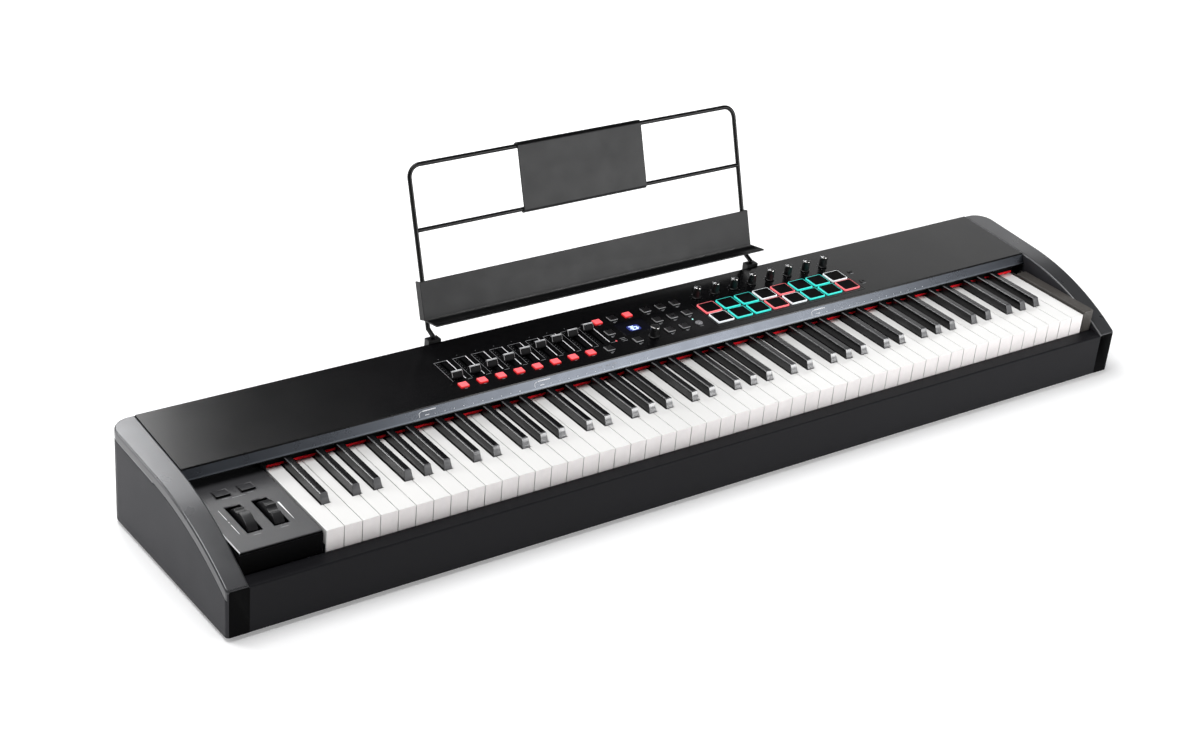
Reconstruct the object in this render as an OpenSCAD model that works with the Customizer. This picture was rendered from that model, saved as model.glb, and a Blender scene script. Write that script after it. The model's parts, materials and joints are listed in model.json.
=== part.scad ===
// 88-key keyboard controller with wheels, faders, knobs, lit pads and a wire music stand.
// Working coordinates: x runs along the keys from the left edge of the lowest white key, y runs
// back from the front edge of the white keys, z is height above the white key tops, all in mm.
// in_frame() moves them so the origin lies under the middle of the whole assembly, on the floor.

/* [Case] */
// Width over both end cheeks at the front
case_w = 1404; // [1400:1:1410]
// How much wider each cheek is at the rear
cheek_flare = 7; // [5:0.5:8]
// Depth of the case from the front rail to the rear wall
case_d = 300; // [298:1:304]
// Height from the underside of the case to the white key tops
case_below = 89; // [86:1:92]
// Width of one end cheek at the front
cheek_w = 28; // [26:0.5:28]
// Slope of the control panel, in degrees
panel_slope = 3; // [2.5:0.5:3.5]
// Thickness of the moulded case walls
wall_t = 2.5; // [2:0.25:3]
// Height of the rubber feet
foot_h = 6; // [4:0.5:8]

/* [Keys] */
// Distance from one white key to the next
white_pitch = 23.5; // [23.4:0.05:23.5]
// Gap between neighbouring white keys
key_gap = 1; // [0.8:0.1:1.2]
// Length of the wide head of a white key
head_l = 50; // [48:1:52]
// Width of a black key where it meets the white keys
black_w = 11; // [10:0.25:11.5]
// Height of a black key above the white key tops
black_h = 12; // [11:0.25:12]

/* [Controls] */
// Distance from one fader to the next
fader_pitch = 27.6; // [27:0.1:28]
// Travel of a fader
fader_travel = 40; // [36:1:40]
// Distance from one knob to the next
knob_pitch = 32.4; // [32:0.1:33]
// Diameter of a knob
knob_d = 11; // [10:0.5:13]
// Height of a knob above the panel
knob_h = 17; // [14:0.5:19]
// Distance from one pad to the next across the panel
pad_pitch = 32.1; // [31.5:0.1:32.5]

/* [Music stand] */
// Diameter of the stand's steel wire
wire_d = 6; // [5:0.5:6]
// Angle at which the stand leans back, in degrees
stand_lean = 18.4; // [16:0.2:20]
// Distance between the two uprights
stand_w = 523; // [515:1:530]
// Thickness of the stand's sheet metal
sheet_t = 2; // [1.5:0.25:2]

/* [Hidden] */
$fn = 48;
eps = 0.01;

// Case outline
white_count = 52;
keys_w = white_count * white_pitch;
mid_x = 568;
x_left = mid_x - case_w / 2;
x_in_left = x_left + cheek_w;
x_in_right = mid_x + case_w / 2 - cheek_w;
inner_w = x_in_right - x_in_left;
y_front = -23;
y_rear = y_front + case_d;
z_bottom = -case_below;
panel_y = 151;
panel_z = 28;
panel_t = 3;
lip_y = 144;
lip_z = 13.2;
rail_z = -28;
function panel_at(y) = panel_z + (y - panel_y) * tan(panel_slope);

// End cheeks: the top edge is the panel's slope, then an arc down to the front rail
arc_y = 157;
arc_r = 381;
arc_cy = arc_y + arc_r * sin(panel_slope);
arc_cz = panel_at(arc_y) - arc_r * cos(panel_slope);
arc_start = 90 + panel_slope;
arc_end = 90 + asin((arc_cy - y_front) / arc_r);
front_corner_r = 5;
rear_corner_r = 26;
seam_drop = 11;
seam_w = 1.2;
seam_depth = 1.5;

// Keys
key_len = 238;
key_deep = 20;
skirt_deep = 30;
shell_t = 2.2;
pivot_y = 205;
pivot_z = -14;
rod_r = 2.5;
pivot_clear = 0.08;
black_cut = black_w + 2.4;
black_top = 8.4;
// The step behind a white key's head, which the front of a black key swings into
black_gap = 1;
black_end = 145.2;
black_deep = 16;
black_tail_top = -3;
black_front = 4.5;
weight_y = 213;
weight_l = 24;
weight_h = 12;
first_c4 = 39;
first_c5 = 51;
last_key = 87;

// Wheel panel
wheel_x = [-70, -36.5];
wheel_y = 64.5;
wheel_z = -20;
wheel_r = 30;
wheel_w = 13;
axle_r = 3;
axle_clear = 0.06;
slot_w = 18.5;
slot_l = 58;
wheel_panel_z = 0.5;
octave_x = [-70, -38.3];
octave_y = 122.5;
octave_size = [17.4, 14.6];
octave_rise = [2.4, 0.3];
// Lean of each wheel's thumb dimple from the top of the wheel, towards the player
dimple_lean = [-12, 14];

// Controls on the panel
fader_x = 287;
fader_y = 209;
fader_count = 9;
// Where each slider stands, from the middle of its track
fader_rest = [-15.5, -13.5, -10, -6.5, -2, 4, 7.5, 11.5, 16];
fader_cap = [16, 9];
fader_cap_h = 10.4;
fader_body_l = 54;
stem = [2, 5];
knob_x = 699;
knob_y = 237.5;
knob_count = 8;
shaft_r = 3;
shaft_clear = 0.05;
encoder_xy = [582, 175];
encoder_d = 13;
encoder_h = 16;
display_xy = [571, 207.5];
display_size = [45, 30];
pad_x = 699;
pad_y = [179.6, 206.9];
pad_size = [28.2, 25];
pad_top = 2;
pad_cols = 8;
lit_x = 286;
lit_y = 173.5;
lit_size = [12, 10.6];
button_size = [12.3, 11.6];
button_top = 2;
button_foot = -10.2;
cap_clear = 0.4;
board_drop = 16;
board_t = 1.6;
under_drop = 8.6;
grid_xy = [611.3, 179.5];
grid_pitch = [24.5, 28.2];
lit_xy = concat(
  [for (k = [0:7]) [lit_x + fader_pitch * k, lit_y]],
  [[531.7, 235.5], [580.7, 235.5]]
);
// The grid's front right place holds a small round button
dark_xy = concat(
  [[507.5, 172], [531.3, 205.5], [556, 175.5], [555.8, 235.5]],
  [for (col = [0:2]) for (row = [0:2]) if (col < 2 || row > 0)
    [grid_xy[0] + grid_pitch[0] * col, grid_xy[1] + grid_pitch[1] * row]]
);
round_xy = [[grid_xy[0] + 2 * grid_pitch[0], grid_xy[1]], [953.7, 210], [952, 181]];
round_d = [10.5, 7, 7];
round_top = 2.2;

// Music stand
wire_r = wire_d / 2;
lean_y = 297;
lean_z = 50;
top_u = 207.4;
cross_u = 124;
bend_r = 16;
foot_u = -4;
bend_bulge = 0.15;
socket_y = 283;
socket_top = 38.5;
socket_w = 18.5;
socket_d = 12;
socket_h = 46;
socket_depth = 30;
shelf_w = 536;
shelf_u = [8, 59];
ledge_l = 30;
ledge_rise = 10;
wing_l = 10;
plate_w = 199;
hook_gap = 0.05;
hook_r = wire_r + hook_gap + sheet_t;
left_leg_x = mid_x - stand_w / 2;

// Rear connectors, seen from behind as a row from x = 60
window_x = 60;
window_w = 236;
window_z = [-74, -38];
housing_deep = 15;
jack_r = 3.25;
jack_x = [196, 224, 252];
din_r = 7.5;
din_x = [124, 160];
dc_r = 2.85;
dc_x = 74;
usb_x = 99;
usb_size = [12, 11];
switch_x = 280;
switch_size = [13, 20];
switch_axle_r = 1.2;
switch_clear = 0.06;
connector_z = -56;

// Frame: the origin is under the middle of the whole assembly's bounding box
y_back = lean_y + top_u * sin(stand_lean) + hook_r;
mid_y = (y_front + y_back) / 2;
floor_z = z_bottom - foot_h;

module in_frame() {
  translate([-mid_x, -mid_y, -floor_z]) children();
}

// A (y, z) outline pulled out along x
module along_x(x0, w) {
  translate([x0, 0, 0]) rotate([90, 0, 90]) linear_extrude(w) children();
}

// Children stand on the control panel's surface with z along its normal
module on_panel(x, y) {
  translate([x, y, panel_at(y)]) rotate([panel_slope, 0, 0]) children();
}

// A block centred on x and y that spans z0 to z1
module post(size, z0, z1) {
  translate([-size[0] / 2, -size[1] / 2, z0]) cube([size[0], size[1], z1 - z0]);
}

module rod_x(x0, length, r) {
  translate([x0, 0, 0]) rotate([0, 90, 0]) cylinder(h = length, r = r);
}

// ---------------------------------------------------------------- case

screw_xy = [for (x = [-60, 150, 360, 570, 780, 990, 1200]) for (y = [40, 220]) [x, y]];
screw_r = 1.5;
screw_hole_r = 1.6;

module screw_holes() {
  for (p = screw_xy) translate([p[0], p[1], z_bottom - 1]) cylinder(h = 14, r = screw_hole_r);
}

module base_pan() {
  rear_h = panel_at(y_rear) - panel_t - 0.6 - z_bottom;
  color("#1c1c1e") in_frame() difference() {
    union() {
      translate([x_in_left, y_front + wall_t, z_bottom])
        cube([inner_w, case_d - wall_t, wall_t]);
      translate([x_in_left, y_rear - wall_t, z_bottom]) cube([inner_w, wall_t, rear_h]);
    }
    screw_holes();
    translate([window_x, y_rear - 2 * wall_t, window_z[0]])
      cube([window_w, 3 * wall_t, window_z[1] - window_z[0]]);
  }
}

module front_rail() {
  chamfer = 1.5;
  color("#222225") in_frame() along_x(x_in_left, inner_w) polygon([
    [y_front, z_bottom],
    [y_front, rail_z - chamfer],
    [y_front + chamfer, rail_z],
    [-1, rail_z],
    [-1, rail_z - 6],
    [-1 - wall_t, rail_z - 6],
    [-1 - wall_t, rail_z - wall_t],
    [y_front + wall_t, rail_z - wall_t],
    [y_front + wall_t, z_bottom]
  ]);
}

module panel_outline() {
  polygon([[lip_y, lip_z], [panel_y, panel_z], [y_rear, panel_at(y_rear)], [y_rear, lip_z]]);
}

module panel_cutouts() {
  deep = 2 * panel_t;
  for (k = [0:fader_count - 1])
    on_panel(fader_x + fader_pitch * k, fader_y) post([3, fader_travel + 8], -deep, deep);
  for (k = [0:knob_count - 1])
    on_panel(knob_x + knob_pitch * k, knob_y) translate([0, 0, -deep])
      cylinder(h = 2 * deep, r = shaft_r + 0.6);
  on_panel(encoder_xy[0], encoder_xy[1]) translate([0, 0, -deep])
    cylinder(h = 2 * deep, r = shaft_r + 0.6);
  on_panel(display_xy[0], display_xy[1])
    post(display_size + [0.4, 0.4], -deep, deep);
  for (k = [0:pad_cols - 1]) for (y = pad_y)
    on_panel(pad_x + pad_pitch * k, y) post(pad_size + 2 * [cap_clear, cap_clear], -deep, deep);
  for (p = lit_xy)
    on_panel(p[0], p[1]) post(lit_size + 2 * [cap_clear, cap_clear], -deep, deep);
  for (p = dark_xy)
    on_panel(p[0], p[1]) post(button_size + 2 * [cap_clear, cap_clear], -deep, deep);
  for (i = [0:2]) on_panel(round_xy[i][0], round_xy[i][1]) translate([0, 0, -deep])
    cylinder(h = 2 * deep, d = round_d[i] + 2 * cap_clear);
}

module top_panel() {
  color("#1e1e20") in_frame() difference() {
    along_x(x_in_left, inner_w) difference() {
      panel_outline();
      translate([1.1 * panel_t, -panel_t]) panel_outline();
    }
    panel_cutouts();
  }
}

// A point on the cheek's top edge as seen from the side, set in by depth: i runs from 0 at the
// front to edge_steps at the top of the arc, and one more step reaches past the rear wall
edge_steps = 24;
function edge_point(i, depth) =
  let (a = arc_end + 1 + (arc_start - arc_end - 1) * min(i, edge_steps) / edge_steps)
  i > edge_steps
    ? [y_rear + 5, panel_at(y_rear + 5) - depth / cos(panel_slope)]
    : [arc_cy + (arc_r - depth) * cos(a), arc_cz + (arc_r - depth) * sin(a)];
function edge_line(depth) = [for (i = [0:edge_steps + 1]) edge_point(i, depth)];
function flipped(v) = [for (i = [len(v) - 1:-1:0]) v[i]];
function arc_points(c, r, a0, a1) =
  [for (i = [0:12]) let (a = a0 + (a1 - a0) * i / 12) c + r * [cos(a), sin(a)]];

// The cheek seen from above, with its outer side and rear set in
module cheek_plan(inset, reach) {
  polygon(concat(
    [[x_in_left + reach, y_front - reach], [x_in_left + reach, y_rear - inset]],
    arc_points([x_left - cheek_flare + rear_corner_r, y_rear - rear_corner_r],
      rear_corner_r - inset, 90, 180),
    arc_points([x_left + front_corner_r, y_front + front_corner_r], front_corner_r - inset, 180,
      reach > 0 ? 190 : 270),
    reach > 0 ? [[x_left + inset, y_front - reach]] : []
  ));
}

module cheek() {
  wide = cheek_w + cheek_flare;
  tall = case_below + 60;
  difference() {
    intersection() {
      along_x(x_left - cheek_flare, wide)
        polygon(concat([[y_rear + 5, z_bottom], [y_front - 5, z_bottom]], edge_line(0)));
      translate([0, 0, z_bottom]) linear_extrude(tall) cheek_plan(0, 0);
    }
    difference() {
      along_x(x_left - 2 * cheek_flare, 2 * wide)
        polygon(concat(edge_line(seam_drop), flipped(edge_line(seam_drop + seam_w))));
      translate([0, 0, z_bottom - 1]) linear_extrude(tall) cheek_plan(seam_depth, 10);
    }
    translate([x_left + 5, y_front + 8, z_bottom + 4])
      cube([cheek_w, case_d - 34, 48]);
  }
}

module left_cheek() {
  color("#5d5f63") in_frame() cheek();
}

module right_cheek() {
  color("#5d5f63") in_frame() translate([2 * mid_x, 0, 0]) mirror([1, 0, 0]) cheek();
}

module wheel_panel() {
  x1 = -2;
  y0 = 3;
  y1 = 164;
  w = x1 - x_in_left;
  bracket_t = 3;
  axle_bore = axle_r + axle_clear;
  color("#3a3a3e") in_frame() difference() {
    union() {
      translate([x_in_left, y0, wheel_panel_z - wall_t]) cube([w, y1 - y0, wall_t]);
      translate([x_in_left, y0, rail_z - 2]) cube([w, wall_t, wheel_panel_z - rail_z]);
      for (x = [x_in_left, x1 - wall_t])
        translate([x, y0, rail_z - 2]) cube([wall_t, y1 - y0, wheel_panel_z - rail_z]);
      for (x = wheel_x) for (side = [-1, 1])
        translate([x + side * (slot_w / 2 + 2) - bracket_t / 2, wheel_y - 8, wheel_z - 8])
          cube([bracket_t, 16, -wheel_z + 6]);
    }
    for (x = wheel_x) {
      translate([x, wheel_y, 0]) post([slot_w, slot_l], -2 * wall_t, 2 * wall_t);
      translate([x, wheel_y, wheel_z]) rod_x(-slot_w, 2 * slot_w, axle_bore);
    }
    for (x = octave_x)
      translate([x, octave_y, 0]) post(octave_size + 2 * [cap_clear, cap_clear], -4, 4);
    translate([x_in_left - 1, y0 - 1, -3.4]) cube([w + 2, 1.8, 1]);
  }
}

module key_end_block() {
  x0 = keys_w + 1.5;
  w = x_in_right - x0;
  top = 4;
  color("#2a2a2d") in_frame() difference() {
    translate([x0, 0, rail_z - 2]) cube([w, 165, top - rail_z + 2]);
    translate([x0 + wall_t, wall_t, rail_z - 3])
      cube([w - 2 * wall_t, 165 - 2 * wall_t, top - rail_z + 3 - wall_t]);
    translate([x0 - 1, 138, lip_z - 12]) cube([w + 2, 40, 30]);
  }
}

// Chassis under the keys: a tray on blocks, a rib and a steel rod that the keys rock on,
// and one guide pin in the head of each white key
module key_bed() {
  tray_z = -62;
  tray_y = [8, 245];
  rib_t = 3;
  pin_r = 2;
  pin_y = 20;
  color("#8a8d90") in_frame() difference() {
    union() {
      translate([0, tray_y[0], tray_z]) cube([keys_w, tray_y[1] - tray_y[0], wall_t]);
      translate([0, pivot_y - rib_t / 2, tray_z]) cube([keys_w, rib_t, pivot_z - tray_z]);
      translate([0, pivot_y, pivot_z]) rod_x(0, keys_w, rod_r);
      for (n = [0:last_key]) if (!is_black(n))
        translate([white_x(n) + white_pitch / 2, pin_y, tray_z])
          cylinder(h = 50, r = pin_r, $fn = 24);
      for (p = screw_xy) if (p[0] > 0)
        translate([p[0], p[1], 0]) post([16, 16], z_bottom + wall_t, tray_z + eps);
    }
    screw_holes();
  }
}

module circuit_boards() {
  board_z = -board_drop;
  top = board_z + board_t;
  shaft_bore = shaft_r + shaft_clear;
  color("#1f5a3a") in_frame() difference() {
    union() {
      on_panel(240, 211) translate([0, -48, board_z]) cube([740, 96, board_t]);
      for (k = [0:fader_count - 1]) on_panel(fader_x + fader_pitch * k, fader_y)
        post([12, fader_body_l], top - eps, -under_drop);
      for (k = [0:knob_count - 1])
        on_panel(knob_x + knob_pitch * k, knob_y) pot_body(top);
      on_panel(encoder_xy[0], encoder_xy[1]) pot_body(top);
      on_panel(display_xy[0], display_xy[1]) post([42, 27], top - eps, -2.1);
      on_panel(pad_x + pad_pitch * (pad_cols - 1) / 2, (pad_y[0] + pad_y[1]) / 2)
        post([pad_pitch * pad_cols, 54], top - eps, -under_drop);
      for (p = concat(lit_xy, dark_xy, round_xy))
        on_panel(p[0], p[1]) post([6, 6], top - eps, -11.6);
    }
    for (k = [0:fader_count - 1])
      on_panel(fader_x + fader_pitch * k, fader_y) post([3, fader_travel + 8], -13.5, 0);
    for (k = [0:knob_count - 1])
      on_panel(knob_x + knob_pitch * k, knob_y) translate([0, 0, -13]) cylinder(h = 14, r = shaft_bore);
    on_panel(encoder_xy[0], encoder_xy[1]) translate([0, 0, -13]) cylinder(h = 14, r = shaft_bore);
  }
}

module pot_body(z0) {
  post([11, 12], z0 - eps, -under_drop);
  translate([0, 0, -under_drop - 1]) cylinder(h = under_drop - panel_t + 0.8, r = 4.6);
}

module display_lens() {
  color([0.1, 0.11, 0.14, 0.6]) in_frame() on_panel(display_xy[0], display_xy[1])
    post(display_size, -2, 0);
}

// One moulded block of the connector row, its rear face flush with the rear wall
module housing(x0, x1) {
  translate([x0 + 0.1, y_rear - housing_deep, window_z[0] + 0.1])
    cube([x1 - x0 - 0.2, housing_deep, window_z[1] - window_z[0] - 0.2]);
}

module rear_bore(x, r, depth) {
  translate([x, y_rear + eps, connector_z]) rotate([90, 0, 0]) cylinder(h = depth + eps, r = r);
}

module switch_axle(clear) {
  stub = 2 + clear;
  translate([switch_x, y_rear - 4, connector_z])
    rod_x(-switch_size[0] / 2 - stub, switch_size[0] + 2 * stub, switch_axle_r + clear);
}

module rear_connectors() {
  edges = [window_x, 86, 106, 142, 178, 210, 238, 266, window_x + window_w];
  color("#2b2b2e") in_frame() {
    difference() {
      housing(edges[0], edges[1]);
      rear_bore(dc_x, dc_r, 10);
    }
    translate([dc_x, y_rear - 10, connector_z]) rotate([-90, 0, 0]) cylinder(h = 9, r = 1);
    difference() {
      housing(edges[1], edges[2]);
      translate([usb_x - usb_size[0] / 2 - 1.5, y_rear - 12, connector_z - usb_size[1] / 2])
        cube([usb_size[0], 13, usb_size[1]]);
    }
    for (i = [0:1]) difference() {
      housing(edges[2 + i], edges[3 + i]);
      rear_bore(din_x[i], din_r, 10);
    }
    for (i = [0:2]) difference() {
      housing(edges[4 + i], edges[5 + i]);
      rear_bore(jack_x[i], jack_r, 13);
    }
    difference() {
      housing(edges[7], edges[8]);
      translate([switch_x, y_rear, connector_z]) rotate([90, 0, 0])
        post(switch_size + [0.8, 0.8], -1, 12);
      switch_axle(switch_clear);
    }
  }
}

module rubber_feet() {
  color("#111112") in_frame()
    for (x = [-80, mid_x, 2 * mid_x + 80]) for (y = [10, 245])
      translate([x, y, floor_z]) cylinder(h = foot_h, r = 11);
}

module case_screws() {
  head_r = 3.2;
  head_h = 2;
  color("#55575a") in_frame() for (p = screw_xy) translate([p[0], p[1], z_bottom - head_h]) {
    difference() {
      cylinder(h = head_h, r = head_r);
      for (turn = [0, 90]) rotate([0, 0, turn]) post([3.4, 0.8], -1, 1);
    }
    cylinder(h = head_h + 9, r = screw_r);
  }
}

// ---------------------------------------------------------------- keys

function pitch_class(n) = (n + 9) % 12;
function octave_of(n) = floor((n + 9) / 12);
function is_black(n) = [0, 1, 0, 1, 0, 0, 1, 0, 1, 0, 1, 0][pitch_class(n)] == 1;
function whites_below(n) = [0, 1, 1, 2, 2, 3, 4, 4, 5, 5, 6, 6][pitch_class(n)];
function octave_left(n) = (7 * octave_of(n) - 5) * white_pitch;
function white_x(n) = octave_left(n) + whites_below(n) * white_pitch;

// Black keys stand so that the white tails between them are equally wide
tail_ce = (3 * white_pitch - 2 * black_cut) / 3;
tail_fb = (4 * white_pitch - 3 * black_cut) / 4;
black_mid = [
  0, tail_ce + black_cut / 2, 0, 2 * tail_ce + 1.5 * black_cut, 0, 0,
  3 * white_pitch + tail_fb + 0.5 * black_cut, 0,
  3 * white_pitch + 2 * tail_fb + 1.5 * black_cut, 0,
  3 * white_pitch + 3 * tail_fb + 2.5 * black_cut, 0
];
function black_x(n) = octave_left(n) + black_mid[pitch_class(n)];

// The half-open bearing that drops over the balance rod, with room for the rib under it
module pivot_notch(x0, w) {
  r = rod_r + pivot_clear;
  translate([0, pivot_y, pivot_z]) rod_x(x0 - 1, w + 2, r);
  translate([x0 - 1, pivot_y - r, -60]) cube([w + 2, 2 * r, 60 + pivot_z]);
}

module white_key(n) {
  head_x0 = white_x(n) + key_gap / 2;
  head_x1 = white_x(n) + white_pitch - key_gap / 2;
  left_black = n > 0 && is_black(n - 1);
  right_black = n < last_key && is_black(n + 1);
  tail_x0 = left_black ? black_x(n - 1) + black_cut / 2 : head_x0;
  tail_x1 = right_black ? black_x(n + 1) - black_cut / 2 : head_x1;
  hollow_end = 190;
  difference() {
    union() {
      translate([head_x0, 0, -key_deep]) cube([head_x1 - head_x0, head_l, key_deep]);
      translate([tail_x0, head_l - eps, -key_deep])
        cube([tail_x1 - tail_x0, key_len - head_l + eps, key_deep]);
      translate([head_x0, 0, -skirt_deep]) cube([head_x1 - head_x0, shell_t, skirt_deep]);
    }
    translate([head_x0 + shell_t, shell_t, -key_deep - 1])
      cube([head_x1 - head_x0 - 2 * shell_t, head_l - 2 * shell_t, key_deep + 1 - shell_t]);
    translate([tail_x0 + shell_t, head_l - 2 * shell_t, -key_deep - 1])
      cube([tail_x1 - tail_x0 - 2 * shell_t, hollow_end - head_l, key_deep + 1 - shell_t]);
    pivot_notch(tail_x0, tail_x1 - tail_x0);
  }
}

module black_key(n) {
  x = black_x(n);
  front = head_l + black_gap;
  difference() {
    union() {
      intersection() {
        along_x(x - black_w / 2, black_w) polygon([
          [front, -black_deep],
          [front, 0.5],
          [front + black_front, black_h - 1.2],
          [front + black_front + 1.6, black_h],
          [black_end, black_h],
          [black_end, -black_deep]
        ]);
        translate([x, black_end + 1, 0]) rotate([90, 0, 0])
          linear_extrude(black_end + 2 - front) polygon([
            [-black_w / 2, -black_deep],
            [-black_w / 2, 0],
            [-black_top / 2 - 0.6, black_h - 1],
            [-black_top / 2 + 0.6, black_h],
            [black_top / 2 - 0.6, black_h],
            [black_top / 2 + 0.6, black_h - 1],
            [black_w / 2, 0],
            [black_w / 2, -black_deep]
          ]);
      }
      translate([x - black_w / 2 + 1, black_end - eps, -black_deep])
        cube([black_w - 2, key_len - black_end + eps, black_deep + black_tail_top]);
    }
    pivot_notch(x - black_w / 2, black_w);
  }
}

module key_weight(n) {
  w = is_black(n) ? 8 : 10;
  x = is_black(n) ? black_x(n) - w / 2 : weight_mid(n) - w / 2;
  z = is_black(n) ? -black_deep : -key_deep;
  translate([x, weight_y, z - weight_h]) cube([w, weight_l, weight_h]);
}

// Middle of a white key's tail
function weight_mid(n) =
  let (x0 = (n > 0 && is_black(n - 1)) ? black_x(n - 1) + black_cut / 2 : white_x(n))
  let (x1 = (n < last_key && is_black(n + 1)) ? black_x(n + 1) - black_cut / 2
    : white_x(n) + white_pitch)
  (x0 + x1) / 2;

module key_solids(n0, n1, blacks) {
  for (n = [n0:n1]) if (is_black(n) == blacks) {
    if (blacks) black_key(n);
    else white_key(n);
  }
}

module key_weights(n0, n1) {
  for (n = [n0:n1]) key_weight(n);
}

module middle_key(step) {
  n = first_c4 + step;
  color(is_black(n) ? "#1a1a1b" : "#f2f2ee") in_frame() {
    key_solids(n, n, is_black(n));
    key_weight(n);
  }
}

module white_keys_low() {
  color("#f2f2ee") in_frame() key_solids(0, first_c4 - 1, false);
}

module black_keys_low() {
  color("#1a1a1b") in_frame() key_solids(0, first_c4 - 1, true);
}

module white_keys_high() {
  color("#f2f2ee") in_frame() key_solids(first_c5, last_key, false);
}

module black_keys_high() {
  color("#1a1a1b") in_frame() key_solids(first_c5, last_key, true);
}

module key_weights_low() {
  color("#6d6f73") in_frame() key_weights(0, first_c4 - 1);
}

module key_weights_high() {
  color("#6d6f73") in_frame() key_weights(first_c5, last_key);
}

// ---------------------------------------------------------------- controls

module wheel(i) {
  dimple_r = 9;
  dimple_deep = 3.2;
  axle_l = slot_w + 8;
  translate([wheel_x[i], wheel_y, wheel_z]) {
    difference() {
      rod_x(-wheel_w / 2, wheel_w, wheel_r);
      rotate([dimple_lean[i], 0, 0]) translate([0, 0, wheel_r + dimple_r - dimple_deep])
        rod_x(-wheel_w, 2 * wheel_w, dimple_r);
      translate([0, 0, -wheel_r]) post([2 * wheel_w, 2 * wheel_r], -1, 12);
    }
    rod_x(-axle_l / 2, axle_l, axle_r);
  }
}

module pitch_wheel() {
  color("#202022") in_frame() wheel(0);
}

module mod_wheel() {
  color("#202022") in_frame() wheel(1);
}

// Each button is a wedge that stands highest at its front edge
module octave_buttons() {
  y0 = octave_y - octave_size[1] / 2;
  y1 = octave_y + octave_size[1] / 2;
  color("#48484c") in_frame() for (x = octave_x)
    along_x(x - octave_size[0] / 2, octave_size[0]) polygon([
      [y0, -8],
      [y0, wheel_panel_z + octave_rise[0]],
      [y1, wheel_panel_z + octave_rise[1]],
      [y1, -8]
    ]);
}

module turning_knob(d, h) {
  dome = 1.2;
  translate([0, 0, 0.6]) cylinder(h = 1.4, r = d / 2 + 0.9);
  translate([0, 0, 2 - eps]) cylinder(h = h - 2 - dome, r1 = d / 2, r2 = d / 2 - 0.6);
  translate([0, 0, h - dome - eps]) cylinder(h = dome, r1 = d / 2 - 0.6, r2 = d / 2 - 1.8);
  translate([0, 0, -12.5]) cylinder(h = 13.5, r = shaft_r);
}

module knob(k) {
  color("#1b1b1d") in_frame() on_panel(knob_x + knob_pitch * (k - 1), knob_y)
    turning_knob(knob_d, knob_h);
}

module encoder_knob() {
  color("#1b1b1d") in_frame() on_panel(encoder_xy[0], encoder_xy[1])
    turning_knob(encoder_d, encoder_h);
}

// A wedge-sided cap with a raised grip bar, on a flat stem through the panel's slot
module fader(k) {
  grip = 2.6;
  color("#3d3e42") in_frame()
    on_panel(fader_x + fader_pitch * (k - 1), fader_y)
      translate([0, fader_rest[k - 1], 0]) {
        translate([-fader_cap[0] / 2, 0, 0]) rotate([90, 0, 90]) linear_extrude(fader_cap[0])
          polygon([
            [-fader_cap[1] / 2, 1],
            [-fader_cap[1] / 2, 4],
            [-grip / 2 - 0.6, fader_cap_h - 1.5],
            [-grip / 2, fader_cap_h],
            [grip / 2, fader_cap_h],
            [grip / 2 + 0.6, fader_cap_h - 1.5],
            [fader_cap[1] / 2, 4],
            [fader_cap[1] / 2, 1]
          ]);
        post(stem, -12.5, 1 + eps);
      }
}

module pads() {
  color("#2c2c2e") in_frame() for (k = [0:pad_cols - 1]) for (y = pad_y)
    on_panel(pad_x + pad_pitch * k, y) post(pad_size, -6, pad_top);
}

module lit_buttons() {
  color("#ff5a52") in_frame() for (p = lit_xy)
    on_panel(p[0], p[1]) post(lit_size, button_foot, button_top);
}

module panel_buttons() {
  color("#2f2f32") in_frame() {
    for (p = dark_xy) on_panel(p[0], p[1]) post(button_size, button_foot, button_top);
    for (i = [0:2]) on_panel(round_xy[i][0], round_xy[i][1]) translate([0, 0, button_foot])
      cylinder(h = round_top - button_foot, d = round_d[i]);
  }
}

// The rocker tips about an axle along x in the middle of its housing
module power_switch() {
  color("#0f0f10") in_frame() {
    translate([switch_x, y_rear - 4, connector_z])
      rotate([90, 0, 90]) translate([0, 0, -switch_size[0] / 2])
        linear_extrude(switch_size[0]) polygon([
          [-4, 9],
          [3, 9.6],
          [2.6, 0],
          [4.6, -9.2],
          [-4, -9.2]
        ]);
    switch_axle(0);
  }
}

// ---------------------------------------------------------------- music stand

// Children are drawn in the leaning plane: y is its rear-facing normal, z runs up the stand
module leaning() {
  translate([0, lean_y, lean_z]) rotate([-stand_lean, 0, 0]) children();
}

module stand_sockets() {
  color("#141415") in_frame() for (side = [-1, 1]) difference() {
    translate([mid_x + side * stand_w / 2, y_rear + socket_d / 2, 0])
      post([socket_w, socket_d], socket_top - socket_h, socket_top);
    translate([mid_x + side * stand_w / 2, socket_y, socket_top - socket_depth])
      cylinder(h = socket_depth + 1, r = wire_r + 0.08);
  }
}

// A straight wire in the plane x = const, from one (y, z) point to another, ending in a bend
module wire_yz(p, q) {
  d = q - p;
  translate([0, p[0], p[1]]) rotate([-atan2(d[0], d[1]), 0, 0]) cylinder(h = norm(d), r = wire_r);
  translate([0, q[0], q[1]]) sphere(r = wire_r + bend_bulge);
}

module stand_leg() {
  bend_y = lean_y + foot_u * sin(stand_lean);
  bend_z = lean_z + foot_u * cos(stand_lean);
  wire_yz([socket_y, socket_top - socket_depth + 2], [socket_y, socket_top + 2.5]);
  wire_yz([socket_y, socket_top + 2.5], [bend_y, bend_z]);
  leaning() translate([0, 0, foot_u]) cylinder(h = top_u - bend_r - foot_u, r = wire_r);
  leaning() translate([bend_r, 0, top_u - bend_r]) rotate([90, 0, 0])
    rotate([0, 0, 90]) rotate_extrude(angle = 90) translate([bend_r, 0]) circle(wire_r);
}

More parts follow.
